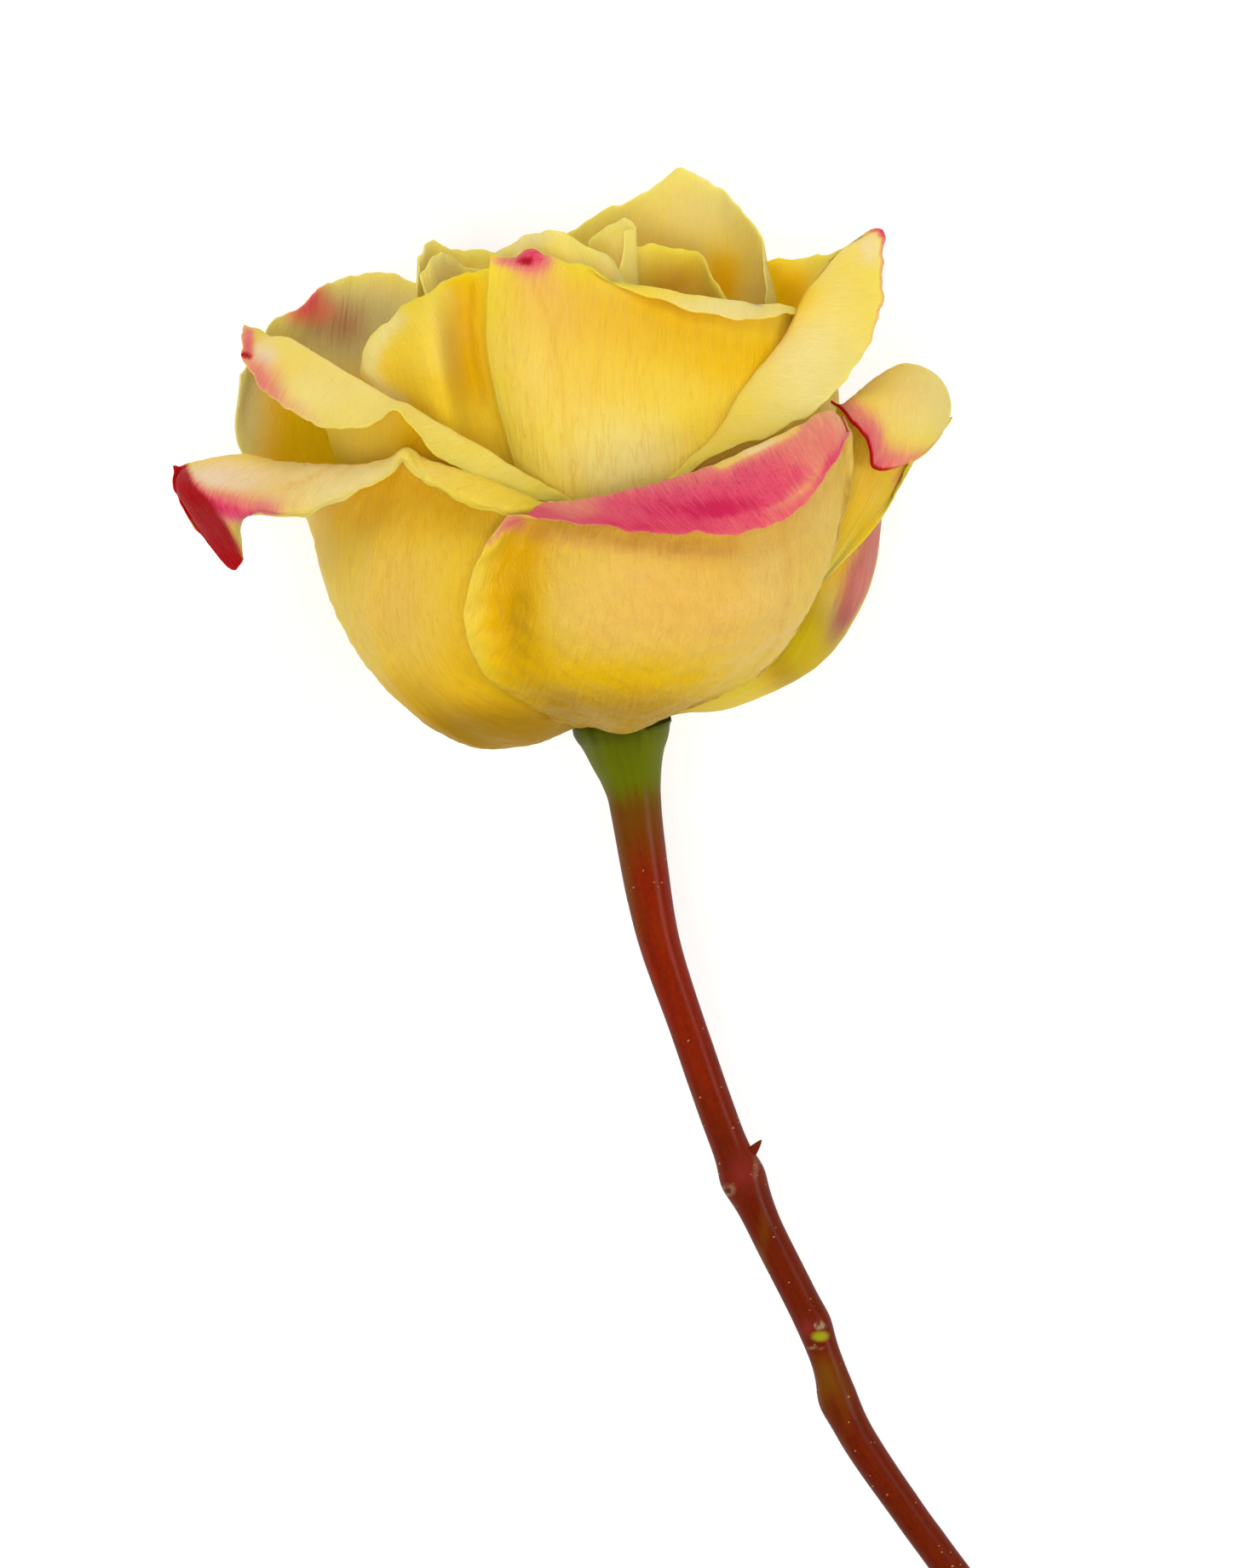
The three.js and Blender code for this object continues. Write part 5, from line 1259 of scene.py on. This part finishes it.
def down_the_stem(places, path):
    """For places in mm: how far down and round the stem, the step out from its middle and its direction."""
    steps = np.concatenate([[0], np.cumsum(np.linalg.norm(np.diff(path, axis=0), axis=1))])
    nearest = np.argmin(np.linalg.norm(places[:, None] - path[None], axis=2), axis=1)
    ahead = np.gradient(path, axis=0)[nearest]
    ahead /= np.linalg.norm(ahead, axis=1, keepdims=True)
    off = places - path[nearest]
    along = steps[nearest] + np.einsum("ij,ij->i", off, ahead)
    off = off - np.einsum("ij,ij->i", off, ahead)[:, None] * ahead
    side = np.cross(ahead, [0, 0, 1])
    side /= np.linalg.norm(side, axis=1, keepdims=True)
    top = np.cross(side, ahead)
    turn = np.arctan2(np.einsum("ij,ij->i", off, top), np.einsum("ij,ij->i", off, side))
    return along, turn, off, ahead


# Stem finish

HIP_GREEN = colour(100, 108, 0)
# Dark green of the hip's fibres, and painted shade at its top under the petals
HIP_STREAK_AND_SHADE = colour(54, 58, 0)
HIP_BROWN = colour(112, 66, 2)
BRIGHT_RED = colour(146, 34, 0)
DEEP_RED = colour(106, 22, 0)
LOWER_SHADE = (0.6, 0.85, 0.6, 1.0)
OCHRE = colour(112, 64, 2)
BLOTCH = colour(134, 40, 34)
SCAR = colour(150, 118, 88)
LIME = colour(150, 146, 20)
BARK = colour(70, 36, 22)
WOOD = colour(150, 158, 70)
PITH = colour(226, 220, 176)


def stem_material():
    material, bench = blank_material("stem")
    grain = bench.fact_vector("grain")
    down = bench.fact("down")
    fibres = bench.noise(bench.stretched(grain, (1.0, 0.05, 1.0)), 1.6, 4.0, 0.6, 0.1)
    patches = bench.noise(bench.stretched(grain, (0.7, 0.16, 1.0)), 0.34, 3.0, 0.55)
    mottles = bench.noise(bench.stretched(grain, (1.0, 0.6, 1.0)), 2.2, 4.0, 0.65)
    place = down + (fibres - 0.5) * 3 + (mottles - 0.5) * 2
    # Darker streaks of the fibres, and painted shade at the top of the hip under the petals
    streaks_and_shade = (fibres * 0.6 + bench.fact("shaded") * 0.4).between(0.3, 1.0)
    hip_green = bench.blend(streaks_and_shade, HIP_GREEN, HIP_STREAK_AND_SHADE)
    red = bench.blend((fibres * 0.45 + mottles * 0.55).between(0.25, 0.75), BRIGHT_RED, DEEP_RED)
    red = bench.times(red, down.between(25.0, 62.0), LOWER_SHADE)
    red = bench.blend((patches + bench.fact("ochre")).between(0.62, 1.1), red, OCHRE)
    red = bench.blend(bench.fact("blotch"), red, BLOTCH)
    brown = bench.blend(place.between(9.5, 19.0), HIP_BROWN, red)
    base = bench.blend(place.between(6.0, 10.5), hip_green, brown)
    base = bench.blend((bench.fact("scar") * (mottles + 0.5)).between(0.1, 0.9), base, SCAR)
    base = bench.blend(bench.fact("lime").between(0.2, 0.8), base, LIME)
    base = bench.blend(bench.fact("bark").between(0.2, 0.8), base, BARK)
    base = bench.blend(bench.fact("wood").between(0.1, 0.9), base, WOOD)
    base = bench.blend(bench.fact("pith").between(0.2, 0.7), base, PITH)
    relief = fibres * 0.3 + mottles * 0.4 + bench.noise(grain, 4.0, 3.0) * 0.2
    bump = bench.node("ShaderNodeBump", {}, {"Strength": 0.3, "Distance": 0.00015, "Height": relief})
    finish_material(bench, {
        "Subsurface Weight": 0.05, "Subsurface Radius": (1.0, 0.4, 0.2), "Subsurface Scale": 0.001,
        "Specular IOR Level": 0.02, "Coat Roughness": 0.3,
    }, {
        "Base Color": base, "Roughness": 0.5 + (mottles - 0.5) * 0.2, "Normal": bump.outputs[0],
        "Coat Weight": 0.17 + (mottles - 0.5) * 0.2 - bench.fact("scar") * 0.1,
    })
    return material


# Swellings of the stem are (x, y, reach, height), and its marks are (tint, x, y, reach across, reach along,
# strength). Places and reaches are in mm, from the foot of the bloom
SWELLINGS = [
    (12.6, -55.4, 2.2, 0.45), (24.2, -71.6, 2.0, 0.25), (24.0, -82.0, 2.4, 0.55), (16.4, -53.5, 2.0, 0.35),
]
STEM_MARKS = [
    ("lime", 13.8, -57.9, 1.0, 0.4, 0.35),
    ("scar", 15.8, -53.4, 0.4, 1.6, 0.5),
    ("blotch", 14.4, -54.0, 1.6, 2.0, 0.6),
    ("scar", 23.9, -72.4, 0.9, 0.4, 0.45),
    ("lime", 23.7, -73.6, 1.2, 0.7, 0.95),
    ("scar", 22.9, -75.0, 1.5, 0.2, 0.75),
    ("blotch", 22.2, -72.6, 0.8, 1.0, 0.8),
    ("ochre", 24.4, -78.6, 2.4, 3.6, 0.36),
    ("ochre", 17.0, -62.0, 1.1, 6.0, 0.35),
    ("ochre", 27.0, -84.0, 1.2, 6.0, 0.2),
]
# Ring-shaped leaf scars: (x, y, radius, width)
RING_SCARS = [(12.9, -55.9, 0.6, 0.3), (23.5, -72.2, 0.4, 0.2)]
RING_STRENGTH = 0.6


def stem_facts(places, path, radii):
    """What the stem's material reads at places in mm, how far out they lie and which way the stem runs."""
    down, turn, off, ahead = down_the_stem(places, path)
    outward = off / np.maximum(np.linalg.norm(off, axis=1, keepdims=True), 1e-6)
    facts = {tint: np.zeros(len(places)) for tint in ("scar", "bark", "lime", "ochre", "blotch")}
    local = places - FOOT
    above = outward[:, 2] > -0.2
    for tint, x, y, reach_x, reach_y, strength in STEM_MARKS:
        far = ((local[:, 0] - x) / reach_x) ** 2 + ((local[:, 1] - y) / reach_y) ** 2
        facts[tint] += strength * np.exp(-far) * above
    for x, y, radius, width in RING_SCARS:
        far = np.hypot(local[:, 0] - x, local[:, 1] - y)
        facts["scar"] += RING_STRENGTH * np.exp(-((far - radius) / width) ** 2) * above
        facts["bark"] += np.exp(-(far / (radius * 0.5)) ** 2) * above
    # The left flank is tinted ochre, and less so far down
    facts["ochre"] += 0.5 * np.clip(-outward[:, 0] - 0.25, 0, 1) * np.clip(1.4 - down / 90, 0, 1)
    # Painted shade at the top of the hip, under the petals
    facts["shaded"] = np.exp(-np.clip(down - 4.5, 0, None) / 2.5)
    facts["down"] = down - 4.0
    facts["grain"] = np.stack([np.cos(turn) * 2.2, down, np.sin(turn) * 2.2], axis=1)
    share = np.linalg.norm(off, axis=1) / radii[-len(CUT_RINGS) - 1]
    on_cut = (down > down.max() - CUT_STEP * (len(CUT_RINGS) + 0.5)) & (share < 0.975)
    facts["wood"] = on_cut.astype(float)
    facts["pith"] = on_cut * np.clip(1.3 - share * 2, 0, 1)
    return facts, outward, off, ahead


def corners_of(mesh):
    """The mesh's corners in mm."""
    places = np.empty(len(mesh.vertices) * 3)
    mesh.vertices.foreach_get("co", places)
    return places.reshape(-1, 3) / MM


def grow_stem():
    path, radii = stem_path()
    guide = bpy.data.meshes.new("stem_line")
    guide.from_pydata((path * MM).tolist(), [(i, i + 1) for i in range(len(path) - 1)], [])
    note_facts(guide, {"radius": radii * MM})
    material = stem_material()
    stem = grown_with("rose_stem", guide, stem_tree(material), STEM_SIZES, material)
    places = corners_of(stem.data)
    facts, outward, off, ahead = stem_facts(places, path, radii)
    local = places - FOOT
    for x, y, reach, height in SWELLINGS:
        far = ((local[:, 0] - x) ** 2 + (local[:, 1] - y) ** 2) / reach ** 2
        side = np.sign(x - np.interp(y, path[::-1, 1] - FOOT[1], path[::-1, 0] - FOOT[0]))
        facing = np.clip(0.5 + 0.7 * outward[:, 0] * side, 0, 1)
        places += outward * (height * np.exp(-far) * facing)[:, None]
    end = np.clip((facts["down"] - (facts["down"].max() - 3.0)) / 3.0, 0, 1) ** 2
    places += ahead * (CUT_SLANT * off[:, 2] * end)[:, None]
    places[:, 2] = np.maximum(places[:, 2], FLOOR_GAP)
    stem.data.vertices.foreach_set("co", (places * MM).ravel())
    note_facts(stem.data, facts)
    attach(stem, "root")
    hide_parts("hip_and_stem")
    grow_stub(path, radii, material)
    sow_lenticels(stem.data)


STUB_RINGS = 14
STUB_SIDES = 20
# How the stub's radius falls off, a factor on that radius, how blunt its tip is and how far it bends to the
# side, both in mm, and its height as a share of its width
STUB_TAPER = 0.7
STUB_SWELL = 1.05
STUB_BLUNT = 0.03
STUB_BEND = 0.22
STUB_FLATNESS = 0.85


def grow_stub(path, radii, material):
    """The stub: a flattened cone that tapers to a point and is bent a little to the side."""
    shares = np.linspace(0, 1, STUB_RINGS)
    along = STUB_TIP - STUB_FOOT
    side = np.cross(along, [0, 0, 1])
    side /= np.linalg.norm(side)
    up = np.cross(side, along)
    up /= np.linalg.norm(up)
    turns = np.linspace(0, 2 * math.pi, STUB_SIDES, endpoint=False)
    radius = STUB_RADIUS * (1 - shares) ** STUB_TAPER * STUB_SWELL + STUB_BLUNT
    bend = (STUB_BEND * np.sin(math.pi * shares))[:, None] * side
    centre = FOOT + STUB_FOOT + shares[:, None] * along + bend
    rings = (centre[:, None] + np.cos(turns)[None, :, None] * radius[:, None, None] * side
             + np.sin(turns)[None, :, None] * radius[:, None, None] * STUB_FLATNESS * up)
    places = np.concatenate([rings.reshape(-1, 3), centre[:1], centre[-1:]])
    here = np.arange(STUB_SIDES)
    there = np.roll(here, -1)
    faces = [(a, b, b + STUB_SIDES, a + STUB_SIDES) for ring in range(STUB_RINGS - 1)
             for a, b in zip(here + ring * STUB_SIDES, there + ring * STUB_SIDES)]
    last = (STUB_RINGS - 1) * STUB_SIDES
    caps = [(len(places) - 2, b, a) for a, b in zip(here, there)]
    caps += [(len(places) - 1, a, b) for a, b in zip(here + last, there + last)]
    mesh = bpy.data.meshes.new("rose_stem_stub")
    mesh.from_pydata((places * MM).tolist(), [], [tuple(int(i) for i in face) for face in faces + caps])
    turned = bmesh.new()
    turned.from_mesh(mesh)
    bmesh.ops.recalc_face_normals(turned, faces=turned.faces)
    turned.to_mesh(mesh)
    turned.free()
    mesh.shade_smooth()
    note_facts(mesh, stem_facts(places, path, radii)[0])
    mesh.materials.append(material)
    stub = bpy.data.objects.new("rose_stem_stub", mesh)
    bpy.context.scene.collection.objects.link(stub)
    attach(stub, "root")
    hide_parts("hip_and_stem")


LENTICEL_SIZES = {
    "Density": ("NodeSocketFloat", 70000.0), "Size": ("NodeSocketFloat", 0.00011),
    "Seed": ("NodeSocketInt", 7),
    "First": ("NodeSocketFloat", 16.0),
}


def lenticel_tree(material):
    """Small flat corky dots strewn over a surface, from the place down the stem where they begin."""
    tree, bench, given = open_tree("lenticels", LENTICEL_SIZES)
    down = bench.node("GeometryNodeInputNamedAttribute", {"data_type": "FLOAT"}, {"Name": "down"})
    below = bench.node("FunctionNodeCompare", {"data_type": "FLOAT", "operation": "GREATER_THAN"}, {
        0: down.outputs[0], 1: given.outputs["First"]})
    strewn = bench.node("GeometryNodeDistributePointsOnFaces", {}, {
        "Mesh": given.outputs["Geometry"], "Selection": below.outputs[0], "Density": given.outputs["Density"],
        "Seed": given.outputs["Seed"]})
    dot = bench.node("GeometryNodeMeshIcoSphere", {}, {"Radius": given.outputs["Size"], "Subdivisions": 2})
    flat = bench.node("GeometryNodeTransform", {}, {"Geometry": dot.outputs[0], "Scale": (1.0, 1.5, 0.35)})
    size = bench.node("FunctionNodeRandomValue", {"data_type": "FLOAT"}, {
        2: 0.5, 3: 1.3, 8: given.outputs["Seed"]})
    placed = bench.node("GeometryNodeInstanceOnPoints", {}, {
        "Points": strewn.outputs["Points"], "Instance": flat.outputs[0],
        "Rotation": strewn.outputs["Rotation"], "Scale": size.outputs[1]})
    close_tree(bench, placed.outputs[0], material)
    return tree


def lenticel_material():
    material, bench = blank_material("lenticel")
    place = bench.node("ShaderNodeTexCoord").outputs["Object"]
    cork = bench.noise(place, 5200.0, 3.0, 0.6)
    base = bench.blend(cork.between(0.35, 0.65), colour(150, 84, 48), colour(184, 128, 92))
    bump = bench.node("ShaderNodeBump", {}, {"Strength": 0.3, "Distance": 0.00005, "Height": cork})
    finish_material(bench, {"Specular IOR Level": 0.2}, {
        "Base Color": base, "Roughness": 0.7 + (cork - 0.5) * 0.2, "Normal": bump.outputs[0]})
    return material


def sow_lenticels(stem_mesh):
    material = lenticel_material()
    dots = grown_with("rose_lenticels", stem_mesh.copy(), lenticel_tree(material), LENTICEL_SIZES, material)
    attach(dots, "root")


grow_stem()


# Stamens

STAMEN_SIZES = {
    "Count": ("NodeSocketInt", 46), "Spread": ("NodeSocketFloat", 0.00036),
    "Filament": ("NodeSocketFloat", 0.0055),
    "Seed": ("NodeSocketInt", 5),
}


def stamen_material():
    material, bench = blank_material("stamen")
    place = bench.node("ShaderNodeTexCoord").outputs["Object"]
    powder = bench.noise(place, 2600.0, 4.0, 0.6)
    base = bench.blend(powder.between(0.35, 0.7), colour(214, 152, 40), colour(160, 96, 18))
    bump = bench.node("ShaderNodeBump", {}, {"Strength": 0.5, "Distance": 0.0001, "Height": powder})
    finish_material(bench, {"Specular IOR Level": 0.25, "Sheen Weight": 0.2}, {
        "Base Color": base, "Roughness": 0.75 + (powder - 0.5) * 0.2, "Normal": bump.outputs[0]})
    return material


def stamen_tree(material):
    """Filaments with anthers in a spiral round the tree's own upright axis, leaning outwards."""
    tree, bench, given = open_tree("stamen_tuft", STAMEN_SIZES)
    order = Value(bench, bench.node("GeometryNodeInputIndex").outputs[0])
    reach = (order + 1) ** 0.5 * Value(bench, given.outputs["Spread"])
    angle = order * 2.39996
    x = angle.cosine() * reach
    y = angle.sine() * reach
    place = bench.node("ShaderNodeCombineXYZ", {}, {0: x, 1: y})
    points = bench.node("GeometryNodePoints", {}, {
        "Count": given.outputs["Count"], "Position": place.outputs[0]})
    filament = bench.node("GeometryNodeMeshCone", {}, {
        "Vertices": 6, "Side Segments": 2, "Radius Top": 0.00012, "Radius Bottom": 0.0002,
        "Depth": given.outputs["Filament"]})
    anther = bench.node("GeometryNodeMeshIcoSphere", {}, {"Radius": 0.00042, "Subdivisions": 2})
    raised = bench.node("ShaderNodeCombineXYZ", {}, {2: given.outputs["Filament"]})
    set_on = bench.node("GeometryNodeTransform", {}, {
        "Geometry": anther.outputs[0], "Translation": raised.outputs[0], "Scale": (0.75, 1.3, 0.8)})
    stamen = bench.node("GeometryNodeJoinGeometry")
    tree.links.new(filament.outputs[0], stamen.inputs[0])
    tree.links.new(set_on.outputs[0], stamen.inputs[0])
    lean = bench.node("ShaderNodeCombineXYZ", {}, {0: x * 210.0, 1: y * 210.0, 2: 1.0})
    turned = bench.node("FunctionNodeAlignRotationToVector", {"axis": "Z"}, {"Vector": lean.outputs[0]})
    size = bench.node("FunctionNodeRandomValue", {"data_type": "FLOAT"}, {
        2: 0.75, 3: 1.1, 8: given.outputs["Seed"]})
    placed = bench.node("GeometryNodeInstanceOnPoints", {}, {
        "Points": points.outputs[0], "Instance": stamen.outputs[0], "Rotation": turned.outputs[0],
        "Scale": size.outputs[1]})
    close_tree(bench, placed.outputs[0], material)
    return tree


TUFT_HEIGHT = 4.6


def grow_stamens():
    material = stamen_material()
    guide = bpy.data.meshes.new("tuft_guide")
    tuft = grown_with("rose_stamens", guide, stamen_tree(material), STAMEN_SIZES, material)
    places = corners_of(tuft.data)
    foot = FOOT + TUFT_HEIGHT * AXIS
    places = foot + places[:, :1] * RIGHT - places[:, 1:2] * FRONT + places[:, 2:3] * AXIS
    tuft.data.vertices.foreach_set("co", (places * MM).ravel())
    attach(tuft, "root")
    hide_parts("stamens_and_styles")


grow_stamens()


# Table and light

# From the middle of the table to its side, in m
TABLE_REACH = 3


def lay_table():
    material, bench = blank_material("table")
    place = bench.node("ShaderNodeTexCoord").outputs["Object"]
    fine = bench.noise(place, 900.0, 3.0)
    base = bench.blend(fine.between(0.2, 0.8), colour(190, 190, 190), colour(186, 186, 186))
    finish_material(bench, {
        "Roughness": 0.9, "Specular IOR Level": 0.1, "Emission Color": (1.0, 1.0, 1.0, 1.0),
        "Emission Strength": 0.6,
    }, {"Base Color": base})
    mesh = bpy.data.meshes.new("table")
    corners = [(x * TABLE_REACH, y * TABLE_REACH, 0) for x, y in ((-1, -1), (1, -1), (1, 1), (-1, 1))]
    mesh.from_pydata(corners, [], [(0, 1, 2, 3)])
    mesh.materials.append(material)
    table = bpy.data.objects.new("table", mesh)
    bpy.context.scene.collection.objects.link(table)


def hang_light(name, place, aim, size, power, tint):
    light = bpy.data.lights.new(name, "AREA")
    light.shape = "DISK"
    light.size = size
    light.energy = power
    light.color = tint
    hung = bpy.data.objects.new(name, light)
    bpy.context.scene.collection.objects.link(hung)
    hung.location = place
    hung.rotation_euler = (Vector(aim) - Vector(place)).to_track_quat("-Z", "Y").to_euler()
    return hung


def light_studio():
    """Four soft lights and a plain sky. The front light and the low light have no mirror image."""
    bloom = (0.0, 0.085, 0.03)
    hang_light("key_light", (-0.15, 0.75, 0.75), bloom, 0.7, 4.0, (1.0, 0.99, 0.95))
    front = hang_light("front_light", (-0.05, -0.1, 1.25), bloom, 0.5, 6.8, (1.0, 0.99, 0.97))
    low = hang_light("low_light", (-0.5, -0.45, 0.7), bloom, 0.5, 1.6, (1.0, 0.99, 0.96))
    hang_light("side_light", (0.8, -0.1, 0.6), (0.02, 0.0, 0.02), 0.3, 2.3, (1.0, 0.97, 0.96))
    for light in (front, low):
        light.visible_glossy = False
    world = bpy.data.worlds.new("studio")
    world.use_nodes = True
    world.node_tree.nodes["Background"].inputs[0].default_value = (1.0, 1.0, 1.0, 1.0)
    world.node_tree.nodes["Background"].inputs[1].default_value = 0.3
    bpy.context.scene.world = world
    bpy.context.scene.view_settings.view_transform = "Standard"


lay_table()
light_studio()


def plain(box):
    return [[float(number) for number in corner] for corner in box]
